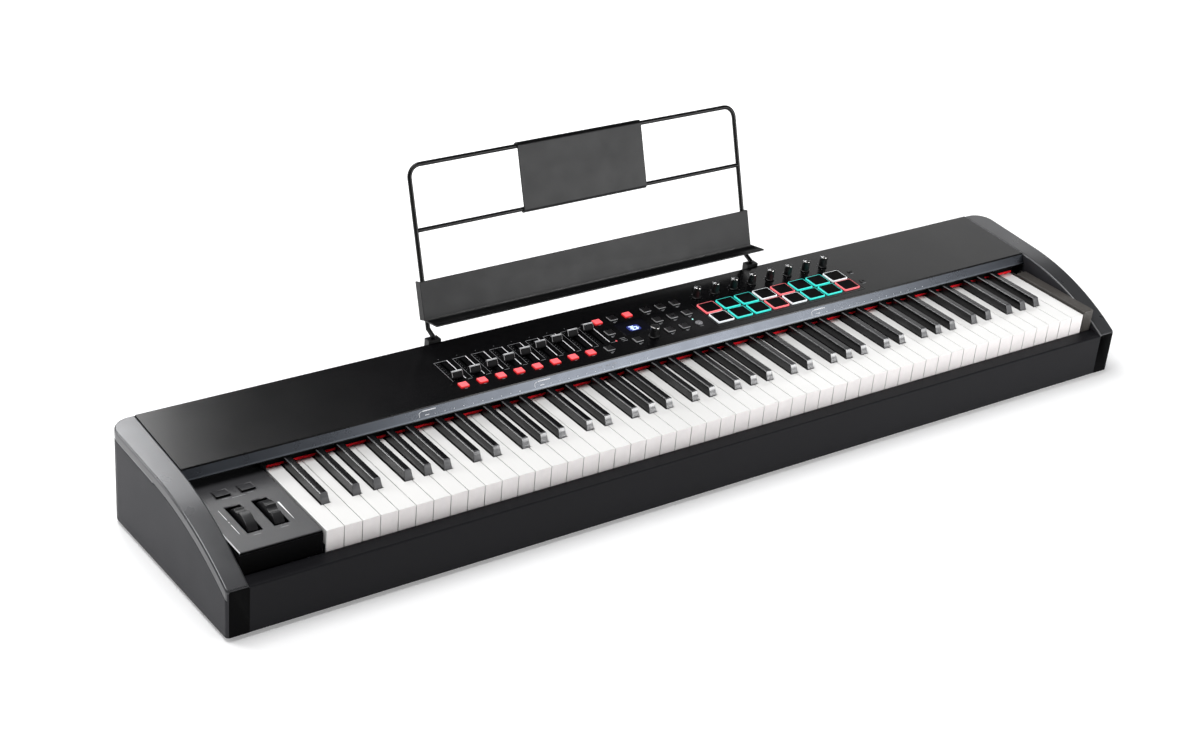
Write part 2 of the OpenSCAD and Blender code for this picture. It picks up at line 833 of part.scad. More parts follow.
module stand_frame() {
  color("#19191a") in_frame() {
    translate([left_leg_x, 0, 0]) stand_leg();
    translate([left_leg_x + stand_w, 0, 0]) mirror([1, 0, 0]) stand_leg();
    leaning() translate([0, 0, top_u]) rod_x(left_leg_x + bend_r, stand_w - 2 * bend_r, wire_r);
    leaning() translate([0, 0, cross_u]) rod_x(left_leg_x, stand_w, wire_r - 0.2);
  }
}

module stand_shelf() {
  x0 = mid_x - shelf_w / 2;
  front = -wire_r - sheet_t;
  color("#454648") in_frame() leaning() {
    translate([x0, front, shelf_u[0]]) cube([shelf_w, sheet_t, shelf_u[1] - shelf_u[0]]);
    for (x = [x0, x0 + shelf_w - sheet_t])
      translate([x, front, shelf_u[0]]) cube([sheet_t, wing_l + sheet_t, shelf_u[1] - shelf_u[0]]);
    translate([x0, front + sheet_t, shelf_u[0]]) rotate([stand_lean - ledge_rise, 0, 0])
      translate([0, -ledge_l - sheet_t, 0]) cube([shelf_w, ledge_l + sheet_t, sheet_t]);
  }
}

// Half a turn of sheet round a wire that runs along x, opening towards the wire's far side
module sheet_hook(w) {
  rotate([90, 0, 90]) rotate_extrude(angle = 180) translate([wire_r + hook_gap, 0])
    square([sheet_t, w]);
}

module stand_plate() {
  x0 = mid_x - plate_w / 2;
  front = -hook_r;
  color("#454648") in_frame() leaning() {
    translate([x0, front, cross_u]) cube([plate_w, sheet_t, top_u - cross_u]);
    translate([x0, 0, top_u]) sheet_hook(plate_w);
    translate([x0, 0, cross_u]) mirror([0, 0, 1]) sheet_hook(plate_w);
  }
}

base_pan();
front_rail();
top_panel();
left_cheek();
right_cheek();
wheel_panel();
key_end_block();
key_bed();
circuit_boards();
display_lens();
rear_connectors();
rubber_feet();
case_screws();
stand_sockets();
stand_frame();
stand_shelf();
stand_plate();
power_switch();
octave_buttons();
pitch_wheel();
mod_wheel();
encoder_knob();
knob(1);  // knob_1
knob(2);  // knob_2
knob(3);  // knob_3
knob(4);  // knob_4
knob(5);  // knob_5
knob(6);  // knob_6
knob(7);  // knob_7
knob(8);  // knob_8
fader(1);  // fader_1
fader(2);  // fader_2
fader(3);  // fader_3
fader(4);  // fader_4
fader(5);  // fader_5
fader(6);  // fader_6
fader(7);  // fader_7
fader(8);  // fader_8
fader(9);  // fader_9
pads();
lit_buttons();
panel_buttons();
middle_key(0);  // key_c4
middle_key(1);  // key_c_sharp4
middle_key(2);  // key_d4
middle_key(3);  // key_d_sharp4
middle_key(4);  // key_e4
middle_key(5);  // key_f4
middle_key(6);  // key_f_sharp4
middle_key(7);  // key_g4
middle_key(8);  // key_g_sharp4
middle_key(9);  // key_a4
middle_key(10);  // key_a_sharp4
middle_key(11);  // key_b4
white_keys_low();
black_keys_low();
white_keys_high();
black_keys_high();
key_weights_low();
key_weights_high();
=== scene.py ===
import json
import math

import bmesh
import bpy
from mathutils import Matrix, Vector


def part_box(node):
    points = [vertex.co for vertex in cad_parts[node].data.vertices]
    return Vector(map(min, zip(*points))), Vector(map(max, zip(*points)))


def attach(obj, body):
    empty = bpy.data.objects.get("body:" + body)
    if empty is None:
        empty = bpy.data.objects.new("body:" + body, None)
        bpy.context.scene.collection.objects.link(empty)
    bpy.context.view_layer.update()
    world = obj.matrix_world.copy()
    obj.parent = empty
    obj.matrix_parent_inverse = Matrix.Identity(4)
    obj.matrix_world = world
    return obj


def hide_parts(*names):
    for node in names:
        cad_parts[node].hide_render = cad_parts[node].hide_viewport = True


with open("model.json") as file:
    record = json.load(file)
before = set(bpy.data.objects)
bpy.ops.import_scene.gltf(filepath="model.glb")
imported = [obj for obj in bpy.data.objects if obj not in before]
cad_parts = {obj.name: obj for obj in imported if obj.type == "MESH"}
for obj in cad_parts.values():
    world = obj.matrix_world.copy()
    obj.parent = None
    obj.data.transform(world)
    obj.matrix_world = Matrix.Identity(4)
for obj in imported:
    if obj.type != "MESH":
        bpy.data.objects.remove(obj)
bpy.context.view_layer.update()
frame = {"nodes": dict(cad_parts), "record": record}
NODES = frame["nodes"]
BODIES = frame["record"]["behaviour"]["bodies"]
BODY_OF = {node: body for body, nodes in BODIES.items() for node in nodes}
SLOT_OF = {row["node"]: row["material_slot"] for row in frame["record"]["subparts"]}
MM = 0.001
WELD = 2e-6  # corners nearer than this are one corner, in metres
FLAT = math.radians(0.4)  # faces that turn less than this are one face

# ---------------------------------------------------------------- places
#
# Places on the keyboard are in millimetres: x from the left side of the lowest white key, y back
# from the front of the white keys, z above their tops. A plane turns its own millimetres into the
# frame's metres: its x and y lie in a surface of the case and its z stands on it. The keyboard's
# origin and the case's ends come from the CAD frame. The edges of the panel and the lip repeat
# the CAD model's driving dimensions, and the printed marks have places of their own.

KEY_GAP = 1  # between two white keys
KEY_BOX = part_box("white_keys_low")
KEYS_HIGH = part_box("white_keys_high")[1]
ORIGIN = Vector((KEY_BOX[0].x - KEY_GAP / 2 * MM, KEY_BOX[0].y, KEYS_HIGH.z))
KEYS_W = (KEYS_HIGH.x - ORIGIN.x) / MM + KEY_GAP / 2
PANEL_SLOPE = math.radians(3)
PANEL_Y, PANEL_Z = 151, 28  # front edge of the control panel, above the lip
LIP_Y, LIP_Z = 144, 13.2  # lower edge of the lip
WHEEL_PANEL_Z = 0.5
CASE_REAR = (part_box("top_panel")[1].y - ORIGIN.y) / MM
CASE_LEFT = (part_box("top_panel")[0].x - ORIGIN.x) / MM
CASE_RIGHT = (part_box("top_panel")[1].x - ORIGIN.x) / MM


def plane(x, y, z, tilt=0.0):
    """A surface through a point, tilted up towards the rear."""
    place = Matrix.Translation(ORIGIN + Vector((x, y, z)) * MM)
    return place @ Matrix.Rotation(tilt, 4, "X") @ Matrix.Diagonal((MM, MM, MM, 1))


def shifted(place, x=0, y=0, z=0):
    """The same surface, moved in its own axes."""
    return place @ Matrix.Translation((x, y, z))


KEYBOARD = plane(0, 0, 0)
PANEL = plane(0, PANEL_Y, PANEL_Z, PANEL_SLOPE)
LIP_ANGLE = math.atan2(PANEL_Z - LIP_Z, PANEL_Y - LIP_Y)
LIP_L = math.hypot(PANEL_Z - LIP_Z, PANEL_Y - LIP_Y)
LIP = plane(0, LIP_Y, LIP_Z, LIP_ANGLE)
LIP_NORMAL = (LIP.to_3x3() @ Vector((0, 0, 1))).normalized()
LIP_RISE = (LIP.to_3x3() @ Vector((0, 1, 0))).normalized()
WHEELS = plane(0, 0, WHEEL_PANEL_Z)
UPRIGHT = Matrix.Rotation(math.pi / 2, 4, "X") @ Matrix.Rotation(math.pi, 4, "Y")
REAR = plane(0, CASE_REAR, 0) @ UPRIGHT


def on_panel(x, y):
    """A point of the panel's plane given by the keyboard's x and y."""
    return x, (y - PANEL_Y) / math.cos(PANEL_SLOPE)


def mesh_of(node):
    """A copy of a CAD node's mesh with its doubled corners welded."""
    bm = bmesh.new()
    bm.from_mesh(NODES[node].data)
    bmesh.ops.remove_doubles(bm, verts=bm.verts, dist=WELD)
    return bm


def groups(bm):
    """The vertices of each separate solid."""
    seen = set()
    for start in bm.verts:
        if start in seen:
            continue
        seen.add(start)
        stack, group = [start], []
        while stack:
            vert = stack.pop()
            group.append(vert)
            for edge in vert.link_edges:
                other = edge.other_vert(vert)
                if other not in seen:
                    seen.add(other)
                    stack.append(other)
        yield group


def welded(node):
    """A copy of a CAD node's mesh with the triangles of each flat face joined up."""
    bm = mesh_of(node)
    bmesh.ops.dissolve_limit(bm, angle_limit=FLAT, verts=bm.verts, edges=bm.edges)
    return bm


def islands(node, place):
    """(low, high) corners of a node's separate solids in a plane's own axes, left to right."""
    bm = mesh_of(node)
    back = place.inverted()
    boxes = []
    for group in groups(bm):
        points = [back @ v.co for v in group]
        low = Vector([min(p[i] for p in points) for i in range(3)])
        high = Vector([max(p[i] for p in points) for i in range(3)])
        boxes.append((low, high))
    bm.free()
    return sorted(boxes, key=lambda box: (round(box[0].x), box[0].y))


# ---------------------------------------------------------------- camera

# the place is in metres, the lens and the sensor are in millimetres
CAMERA_PLACE = (-1.5489, -1.9316, 1.4108)
CAMERA_AZIMUTH = math.radians(37.42)
CAMERA_ELEVATION = math.radians(28.61)
CAMERA_ROLL = math.radians(5.43)
CAMERA_LENS = 63.54
SENSOR_WIDTH = 36
CLIP_START = 0.05


def make_camera():
    """A camera at the viewing angle, with a slight roll and no shift."""
    data = bpy.data.cameras.new("camera")
    data.lens = CAMERA_LENS
    data.sensor_width = SENSOR_WIDTH
    data.clip_start = CLIP_START
    camera = bpy.data.objects.new("camera", data)
    bpy.context.scene.collection.objects.link(camera)
    camera.matrix_world = (
        Matrix.Translation(CAMERA_PLACE)
        @ Matrix.Rotation(-CAMERA_AZIMUTH, 4, "Z")
        @ Matrix.Rotation(math.pi / 2 - CAMERA_ELEVATION, 4, "X")
        @ Matrix.Rotation(CAMERA_ROLL, 4, "Z")
    )
    bpy.context.scene.camera = camera


make_camera()

# ---------------------------------------------------------------- materials


def new_material(name, color, roughness, metallic, specular):
    """A material whose constants sit on the shader's own sockets."""
    mat = bpy.data.materials.new(name)
    mat.use_nodes = True
    bsdf = mat.node_tree.nodes["Principled BSDF"]
    bsdf.inputs["Base Color"].default_value = (*color, 1)
    bsdf.inputs["Roughness"].default_value = roughness
    bsdf.inputs["Metallic"].default_value = metallic
    bsdf.inputs["Specular IOR Level"].default_value = specular
    return mat


def noise(mat, scale, detail=2.0, stretch=(1, 1, 1)):
    """A noise over the object's own coordinates; scale is in cells per metre."""
    tree = mat.node_tree
    coords = tree.nodes.new("ShaderNodeTexCoord")
    mapping = tree.nodes.new("ShaderNodeMapping")
    mapping.inputs["Scale"].default_value = stretch
    texture = tree.nodes.new("ShaderNodeTexNoise")
    texture.inputs["Scale"].default_value = scale
    texture.inputs["Detail"].default_value = detail
    tree.links.new(coords.outputs["Object"], mapping.inputs["Vector"])
    tree.links.new(mapping.outputs["Vector"], texture.inputs["Vector"])
    return texture.outputs["Fac"]


def mapped(mat, value, low, high, in_low=0.3, in_high=0.7):
    """A value between in_low and in_high, spread over low to high."""
    node = mat.node_tree.nodes.new("ShaderNodeMapRange")
    node.inputs["From Min"].default_value = in_low
    node.inputs["From Max"].default_value = in_high
    node.inputs["To Min"].default_value = low
    node.inputs["To Max"].default_value = high
    mat.node_tree.links.new(value, node.inputs["Value"])
    return node.outputs["Result"]


def blend_colors(mat, value, low, high, socket):
    """Colors a socket from low to high as the value goes from 0 to 1."""
    mix = mat.node_tree.nodes.new("ShaderNodeMix")
    mix.data_type = "RGBA"
    mix.inputs["A"].default_value = (*low, 1)
    mix.inputs["B"].default_value = (*high, 1)
    mat.node_tree.links.new(value, mix.inputs["Factor"])
    mat.node_tree.links.new(mix.outputs["Result"], socket)


def bump(mat, value, height):
    """Raises a grain by a height in metres."""
    bsdf = mat.node_tree.nodes["Principled BSDF"]
    node = mat.node_tree.nodes.new("ShaderNodeBump")
    node.inputs["Distance"].default_value = height
    node.inputs["Strength"].default_value = 1.0
    mat.node_tree.links.new(value, node.inputs["Height"])
    mat.node_tree.links.new(node.outputs["Normal"], bsdf.inputs["Normal"])


def surface(
    name,
    color,
    roughness,
    specular=0.5,
    grain=900,
    height=0.00004,
    blotch=14,
    rough_spread=0.04,
    tint_spread=0.05,
    metallic=0.0,
    stretch=(1, 1, 1),
):
    """A moulded, painted or machined surface: fine grain in relief, slow shifts in tone and gloss.

    grain and blotch are in cells per metre, height is in metres, and the spreads say how far the
    roughness and the color stray from their middle.
    """
    mat = new_material(name, color, roughness, metallic, specular)
    bsdf = mat.node_tree.nodes["Principled BSDF"]
    slow = mapped(mat, noise(mat, blotch, 4.0), 0.0, 1.0)
    light = [min(1.0, c * (1 + tint_spread)) for c in color]
    dark = [c * (1 - tint_spread) for c in color]
    blend_colors(mat, slow, dark, light, bsdf.inputs["Base Color"])
    gloss_scale = blotch * 5
    gloss = noise(mat, gloss_scale, 3.0, stretch)
    rough = mapped(mat, gloss, roughness - rough_spread, roughness + rough_spread)
    mat.node_tree.links.new(rough, bsdf.inputs["Roughness"])
    bump(mat, noise(mat, grain, 2.0, stretch), height)
    return mat


def glowing(name, color, strength, cap_color):
    """A translucent cap lit from inside, a little dimmer in soft patches."""
    patch_scale, dimmed = 160, 0.82
    mat = surface(name, cap_color, 0.4, grain=1500, height=0.00001)
    bsdf = mat.node_tree.nodes["Principled BSDF"]
    patches = mapped(mat, noise(mat, patch_scale, 1.0), 0.0, 1.0)
    dim = [c * dimmed for c in color]
    blend_colors(mat, patches, dim, color, bsdf.inputs["Emission Color"])
    bsdf.inputs["Emission Strength"].default_value = strength
    return mat


MAT = {
    "case": surface(
        "case_black_grain", (0.009, 0.009, 0.0105), 0.42, specular=0.08, height=0.00012, blotch=5,
        rough_spread=0.02, tint_spread=0.03,
    ),
    # near-black painted shade for faces that look to the front or the left: the cheeks' fronts, the
    # wheel panel's front and left side, the octave buttons' sides and the strip above the felt
    "front": surface(
        "front_black_smooth", (0.003, 0.003, 0.0032), 0.5, specular=0.02, grain=1200, blotch=5,
    ),
    "rear": surface(
        "rear_black_grain", (0.012, 0.012, 0.013), 0.5, specular=0.4, height=0.00012, blotch=5,
    ),
    "panel": surface(
        "panel_black_satin", (0.002, 0.002, 0.0024), 0.22, specular=0.2, grain=2200,
        height=0.000008, blotch=4, rough_spread=0.01, tint_spread=0.03,
    ),
    "fascia": surface(
        "fascia_grey", (0.048, 0.053, 0.0625), 0.28, height=0.000003, blotch=8, rough_spread=0.02,
        tint_spread=0.03, metallic=0.8,
    ),
    # painted highlight: the lighter stripe along the foot of the lip
    "fascia_highlight": surface(
        "fascia_painted_highlight", (0.075, 0.083, 0.095), 0.3, height=0.000003, blotch=8,
        rough_spread=0.02, tint_spread=0.03, metallic=0.8,
    ),
    "cheek_top": surface(
        "cheek_top_satin", (0.07, 0.071, 0.075), 0.29, specular=0.8, height=0.000005, blotch=6,
        rough_spread=0.02, tint_spread=0.03, metallic=0.5,
    ),
    "cheek_side": surface(
        "cheek_side_grain", (0.034, 0.034, 0.0385), 0.5, specular=0.15, height=0.00012, blotch=4,
        rough_spread=0.02, tint_spread=0.03,
    ),
    "wheel_panel": surface(
        "wheel_panel_grain", (0.04, 0.04, 0.043), 0.36, specular=0.45, grain=1300, height=0.00014,
        blotch=9,
    ),
    "end_block": surface(
        "end_block_grain", (0.06, 0.055, 0.05), 0.5, specular=0.4, height=0.0001, blotch=30,
    ),
    "white_key": surface(
        "key_white_gloss", (0.8, 0.795, 0.785), 0.16, grain=500, height=0.000004, blotch=9,
        tint_spread=0.012,
    ),
    # a slightly greyer, pinkish copy of the keys' white for their fronts: painted shade
    "key_front": surface(
        "painted_shade_key_front", (0.79, 0.755, 0.75), 0.4, grain=1400, height=0.00005, blotch=90,
        tint_spread=0.03,
    ),
    "black_key": surface(
        "key_black_satin", (0.0035, 0.0035, 0.004), 0.2, specular=0.3, height=0.000012, blotch=30,
        rough_spread=0.05, tint_spread=0.1, stretch=(1, 0.08, 1),
    ),
    "steel": surface(
        "steel_brushed", (0.42, 0.43, 0.44), 0.35, grain=800, height=0.00002, blotch=20,
        rough_spread=0.08, tint_spread=0.06, metallic=1.0, stretch=(0.1, 1, 1),
    ),
    "board": surface("board_green", (0.02, 0.10, 0.05), 0.4, grain=600, height=0.00003),
    "felt": surface(
        "felt_red", (0.88, 0.016, 0.026), 0.95, specular=0.1, grain=1600, height=0.0004, blotch=60,
        rough_spread=0.03, tint_spread=0.2,
    ),
    "rubber": surface("rubber_black", (0.014, 0.014, 0.014), 0.75, specular=0.3, height=0.00008),
    "control": surface(
        "control_black", (0.004, 0.004, 0.0045), 0.3, grain=1500, height=0.00002, blotch=60,
    ),
    # painted highlight on the rounded cap edges that face left or to the front
    "button_highlight": surface(
        "button_cap_painted_highlight", (0.6, 0.605, 0.62), 0.4, grain=1500, height=0.00002, blotch=60,
    ),
    "fader": surface(
        "fader_grey", (0.005, 0.0052, 0.006), 0.42, specular=0.05, grain=1500, height=0.00003,
        blotch=60,
    ),
    # painted highlight on the upper edges of the fader caps and on the wheel panel's left edge
    "edge": surface(
        "edge_painted_highlight", (0.45, 0.455, 0.47), 0.35, grain=1500, height=0.00002, blotch=60,
    ),
    # painted highlight for the front faces and upper left edges of the black keys
    "key_edge": surface(
        "key_edge_polished", (0.09, 0.09, 0.095), 0.2, specular=0.9, height=0.000008, blotch=30,
    ),
    "pad": surface(
        "pad_rubber", (0.0015, 0.0015, 0.0018), 0.5, specular=0.04, grain=1500, blotch=40,
    ),
    "wheel": surface("wheel_satin", (0.009, 0.009, 0.01), 0.32, grain=1300, blotch=40),
    # black of the wire frame and the sockets, also the painted shade on the flat faces of the
    # stand's sheets
    "wire": surface(
        "stand_wire_black", (0.002, 0.002, 0.0022), 0.34, specular=0.25, grain=400, height=0.00002,
    ),
    "sheet": surface(
        "stand_sheet_grey", (0.01, 0.0102, 0.011), 0.42, specular=0.22, grain=1300, blotch=8,
        rough_spread=0.02, tint_spread=0.03,
    ),
    "socket": surface("socket_black", (0.011, 0.011, 0.012), 0.45, grain=1300, height=0.00005),
    "gloss": surface(
        "button_gloss", (0.004, 0.004, 0.0045), 0.16, specular=0.8, grain=300, height=0.000002,
        blotch=20, rough_spread=0.02,
    ),
    "lens": surface(
        "lens_smoked", (0.003, 0.003, 0.006), 0.06, grain=300, height=0.000002, blotch=20,
        rough_spread=0.02,
    ),
    "mark": surface(
        "mark_white", (0.85, 0.86, 0.88), 0.5, specular=0.3, grain=2000, height=0.00001, blotch=80,
        tint_spread=0.04,
    ),
    "faint": surface(
        "mark_grey", (0.26, 0.265, 0.275), 0.5, specular=0.3, grain=2000, height=0.00001,
        blotch=80, tint_spread=0.04,
    ),
    "nickel": surface(
        "nickel_plated", (0.7, 0.69, 0.675), 0.25, height=0.00001, blotch=60, rough_spread=0.06,
        metallic=1.0,
    ),
    "patterned": surface(
        "button_woven_grey", (0.2, 0.2, 0.21), 0.5, specular=0.4, grain=1400, height=0.0003,
        blotch=420, rough_spread=0.1, tint_spread=0.95,
    ),
    "red_light": glowing("light_red", (1.0, 0.1, 0.12), strength=0.85, cap_color=(0.6, 0.1, 0.11)),
    "red_glow": glowing(
        "glow_red_edge", (0.8, 0.01, 0.015), strength=0.7, cap_color=(0.3, 0.02, 0.02),
    ),
    "pad_red": glowing("pad_light_red", (1.0, 0.1, 0.13), strength=0.8, cap_color=(0.6, 0.2, 0.21)),
    "pad_teal": glowing(
        "pad_light_teal", (0.0, 0.66, 0.58), strength=0.9, cap_color=(0.08, 0.5, 0.45),
    ),
    "pad_white": glowing(
        "pad_light_white", (0.75, 0.8, 0.82), strength=0.6, cap_color=(0.7, 0.72, 0.74),
    ),
    "screen": glowing("screen_light", (0.55, 0.7, 1.0), strength=2.2, cap_color=(0.5, 0.6, 0.9)),
    "screen_back": glowing(
        "screen_blue", (0.02, 0.05, 0.5), strength=0.4, cap_color=(0.01, 0.015, 0.08),
    ),
    "led_teal": glowing("led_teal", (0.35, 0.9, 0.8), strength=1.2, cap_color=(0.5, 0.8, 0.75)),
}

# ---------------------------------------------------------------- mesh tools


def add_object(name, bm, *materials):
    """Turns a bmesh into an object of the scene."""
    mesh = bpy.data.meshes.new(name)
    bmesh.ops.recalc_face_normals(bm, faces=bm.faces)
    bm.to_mesh(mesh)
    bm.free()
    for mat in materials:
        mesh.materials.append(mat)
    obj = bpy.data.objects.new(name, mesh)
    bpy.context.scene.collection.objects.link(obj)
    return obj


SHARP = math.radians(42)
FLAT_WEIGHT = 80


def shade(obj):
    """Smooth shading on rounded edges, with the flats kept flat."""
    mesh = obj.data
    mesh.shade_smooth()
    mesh.set_sharp_from_angle(angle=SHARP)
    normals = obj.modifiers.new("normals", "WEIGHTED_NORMAL")
    normals.weight = FLAT_WEIGHT
    normals.keep_sharp = True
    bpy.context.view_layer.update()
    graph = bpy.context.evaluated_depsgraph_get()
    made = bpy.data.meshes.new_from_object(obj.evaluated_get(graph), depsgraph=graph)
    obj.modifiers.clear()
    obj.data = made


def add_piece(name, bm, body, slot, *materials, replaces=(), smooth=True):
    """A new piece that rides on a body and may stand for CAD nodes; slot is not used."""
    obj = add_object(name, bm, *materials)
    if smooth:
        shade(obj)
    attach(obj, body)
    if replaces:
        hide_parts(*replaces)


def edge_middle(edge):
    """Middle of an edge in the keyboard's millimetres."""
    return ((edge.verts[0].co + edge.verts[1].co) / 2 - ORIGIN) / MM


def above(height):
    """Picks the edges whose middle is higher than this on the keyboard."""
    return lambda edge: edge_middle(edge).z > height


BEVEL_FROM = math.radians(30)


def bevel(bm, width, pick, segments):
    """Rounds the sharp outward edges that pick accepts; width is in millimetres."""
    edges = [
        e
        for e in bm.edges
        if len(e.link_faces) == 2
        and e.is_convex
        and e.calc_face_angle(0) > BEVEL_FROM
        and (pick is None or pick(e))
    ]
    bmesh.ops.bevel(
        bm,
        geom=edges,
        offset=width * MM,
        offset_type="OFFSET",
        segments=segments,
        profile=0.5,
        affect="EDGES",
        clamp_overlap=False,
    )


def soft_copy(node, mats, width, pick=None, paint=None, segments=3, prepare=None):
    """A copy of a CAD node with rounded edges, shown in its place; paint picks faces' materials."""
    bm = welded(node)
    if prepare:
        prepare(bm)
    bevel(bm, width, pick, segments)
    if paint:
        bm.normal_update()
        for face in bm.faces:
            face.material_index = paint(face)
    add_piece(node + "_shell", bm, BODY_OF[node], SLOT_OF[node], *mats, replaces=[node])


def dress(node, mat):
    """Gives a CAD node that stays in view its material."""
    mesh = NODES[node].data
    mesh.materials.clear()
    mesh.materials.append(mat)


CORNER_STEPS = 4
EDGE_STEPS = 3


def rounded_outline(size, corner):
    """Points of a rectangle with rounded corners, centred on the origin, anticlockwise."""
    points = []
    for i, (sx, sy) in enumerate(((1, 1), (-1, 1), (-1, -1), (1, -1))):
        cx, cy = sx * (size[0] / 2 - corner), sy * (size[1] / 2 - corner)
        for k in range(CORNER_STEPS + 1):
            a = math.radians(90 * i + 90 * k / CORNER_STEPS)
            points.append((cx + corner * math.cos(a), cy + corner * math.sin(a)))
    return points


def loft(bm, place, rings, mats, cap_low=True, cap_high=True):
    """Skins rings of equally many points with one material, or one for each band and the top."""
    if isinstance(mats, int):
        mats = [mats] * len(rings)
    rows = [[bm.verts.new(place @ Vector(p)) for p in ring] for ring in rings]
    for row, upper, mat in zip(rows, rows[1:], mats):
        for i in range(len(row)):
            j = (i + 1) % len(row)
            bm.faces.new((row[i], row[j], upper[j], upper[i])).material_index = mat
    if cap_low:
        bm.faces.new(list(reversed(rows[0]))).material_index = mats[0]
    if cap_high:
        bm.faces.new(rows[-1]).material_index = mats[-1]


def quarter(radius):
    """(inset, drop) along a rounded edge, from the side to the top."""
    turns = [math.pi / 2 * i / EDGE_STEPS for i in range(EDGE_STEPS + 1)]
    return [(radius * (1 - math.cos(a)), radius * (1 - math.sin(a))) for a in turns]


def cap(bm, place, size, low, high, corner=0.8, edge=0.35, side=0, top=0, dish=0.0):
    """A moulded block with rounded corners and top edge; dish is how far its top sinks."""
    rings = [[(*p, low) for p in rounded_outline(size, corner)]]
    for inset, drop in quarter(edge):
        outline = rounded_outline(
            (size[0] - 2 * inset, size[1] - 2 * inset), max(0.05, corner - inset)
        )
        rings.append([(*p, high - drop) for p in outline])
    mats = [side] * (len(rings) - 2) + [top]
    if dish:
        rim = rings[-1]
        for share, depth in ((0.7, 0.6), (0.35, 0.95)):
            z = high - dish * depth
            rings.append([(p[0] * share, p[1] * share, z) for p in rim])
        mats += [top] * 2
    loft(bm, place, rings, mats + [top])


def ring_points(radius, z, steps, flutes, depth):
    """A circle, or a fluted one whose radius dips by depth between its ribs."""
    points = []
    for i in range(steps):
        a = 2 * math.pi * i / steps
        r = radius - depth * (0.5 + 0.5 * math.cos(flutes * a)) if flutes else radius
        points.append((r * math.cos(a), r * math.sin(a), z))
    return points


def lathe(bm, place, profile, mats, steps=48, flutes=0, cap_low=True, cap_high=True):
    """Turns a profile of (radius, z, flute depth) about the plane's normal."""
    rings = [ring_points(r, z, steps, flutes, depth) for r, z, depth in profile]
    loft(bm, place, rings, mats, cap_low, cap_high)


INK_ROOT, INK_RISE = -0.02, 0.05  # foot and top of a printed mark on its surface


def stroke(bm, place, start, end, width, end_width=None, rise=INK_RISE, mat=0):
    """A printed line: a thin raised strip between two points of a surface."""
    a, b = Vector(start), Vector(end)
    side = (b - a).normalized().orthogonal()
    w0, w1 = width / 2, (end_width if end_width is not None else width) / 2
    corners = [a - side * w0, b - side * w1, b + side * w1, a + side * w0]
    rings = [[(c.x, c.y, z) for c in corners] for z in (INK_ROOT, rise)]
    loft(bm, place, rings, mat)


def dot(bm, place, x, y, radius, mat=0):
    """A printed dot."""
    profile = [(radius, INK_ROOT, 0), (radius, INK_RISE, 0)]
    lathe(bm, shifted(place, x, y), profile, mat, steps=12)


# ---------------------------------------------------------------- stage and light


FLOOR_SIZE = 30  # metres
FLOOR_GLOW_NEAR, FLOOR_GLOW_FAR = 0.2, 1.0  # strength of the floor's own light
FLOOR_NEAR, FLOOR_FAR = 0.4, 1.8  # where it starts to grow and stops, metres from the middle
FLOOR_SQUEEZE = 0.5  # the glow's steps are stretched along the keyboard by its inverse


def make_stage():
    """A pale floor that glows more away from the keyboard, so that it fades into white."""
    bm = bmesh.new()
    bmesh.ops.create_grid(bm, x_segments=1, y_segments=1, size=FLOOR_SIZE)
    mat = surface(
        "floor_pale", (0.9, 0.9, 0.905), 0.7, specular=0.2, grain=60, height=0.0001, blotch=0.5,
        rough_spread=0.03, tint_spread=0.01,
    )
    bsdf = mat.node_tree.nodes["Principled BSDF"]
    bsdf.inputs["Emission Color"].default_value = (1, 1, 1, 1)
    tree = mat.node_tree
    coords = tree.nodes.new("ShaderNodeTexCoord")
    squeeze = tree.nodes.new("ShaderNodeMapping")
    squeeze.inputs["Scale"].default_value = (FLOOR_SQUEEZE, 1, 1)
    reach = tree.nodes.new("ShaderNodeVectorMath")
    reach.operation = "LENGTH"
    tree.links.new(coords.outputs["Object"], squeeze.inputs["Vector"])
    tree.links.new(squeeze.outputs["Vector"], reach.inputs[0])
    distance = reach.outputs["Value"]
    glow = mapped(mat, distance, FLOOR_GLOW_NEAR, FLOOR_GLOW_FAR, FLOOR_NEAR, FLOOR_FAR)
    tree.links.new(glow, bsdf.inputs["Emission Strength"])
    floor = add_object("floor", bm, mat)


SKY_COLOR, SKY_STRENGTH = (0.96, 0.98, 1.0), 0.045
# name, place and target in metres, size in metres, power in watts
LIGHTS = (
    ("overhead", (-1.0, 0.15, 3.4), (-0.2, 0, 0), (2.4, 2.4), 106),
    ("left", (-2.3, 2.1, 1.4), (-0.7, 0, 0.05), (1.2, 1.2), 34),
    ("behind", (-0.06, 2.3, 1.82), (-0.6, 0, 0.1), (0.8, 0.7), 20),
    ("behind_high", (0.2, 1.66, 2.3), (-0.7, 0, 0.1), (0.9, 0.8), 11),
    ("front_right", (1.2, -1.7, 0.6), (0.4, 0, 0.08), (1.0, 0.8), 27),
    ("right_rear", (2.9, 2.1, 1.6), (0.5, 0, 0.1), (1.4, 1.0), 6),
)


def area_light(name, place, target, size, power):
    """A white soft box that faces its target."""
    data = bpy.data.lights.new(name, "AREA")
    data.shape = "RECTANGLE"
    data.size, data.size_y = size
    data.energy = power
    light = bpy.data.objects.new(name, data)
    bpy.context.scene.collection.objects.link(light)
    aim = (Vector(target) - Vector(place)).to_track_quat("-Z", "Y")
    light.matrix_world = Matrix.Translation(place) @ aim.to_matrix().to_4x4()


def make_light():
    """A dim even surround and the soft boxes."""
    bpy.context.scene.view_settings.view_transform = "Standard"
    world = bpy.data.worlds.new("studio")
    bpy.context.scene.world = world
    world.use_nodes = True
    sky = world.node_tree.nodes["Background"]
    sky.inputs["Color"].default_value = (*SKY_COLOR, 1)
    sky.inputs["Strength"].default_value = SKY_STRENGTH
    for light in LIGHTS:
        area_light(*light)


make_stage()
make_light()

# ---------------------------------------------------------------- case


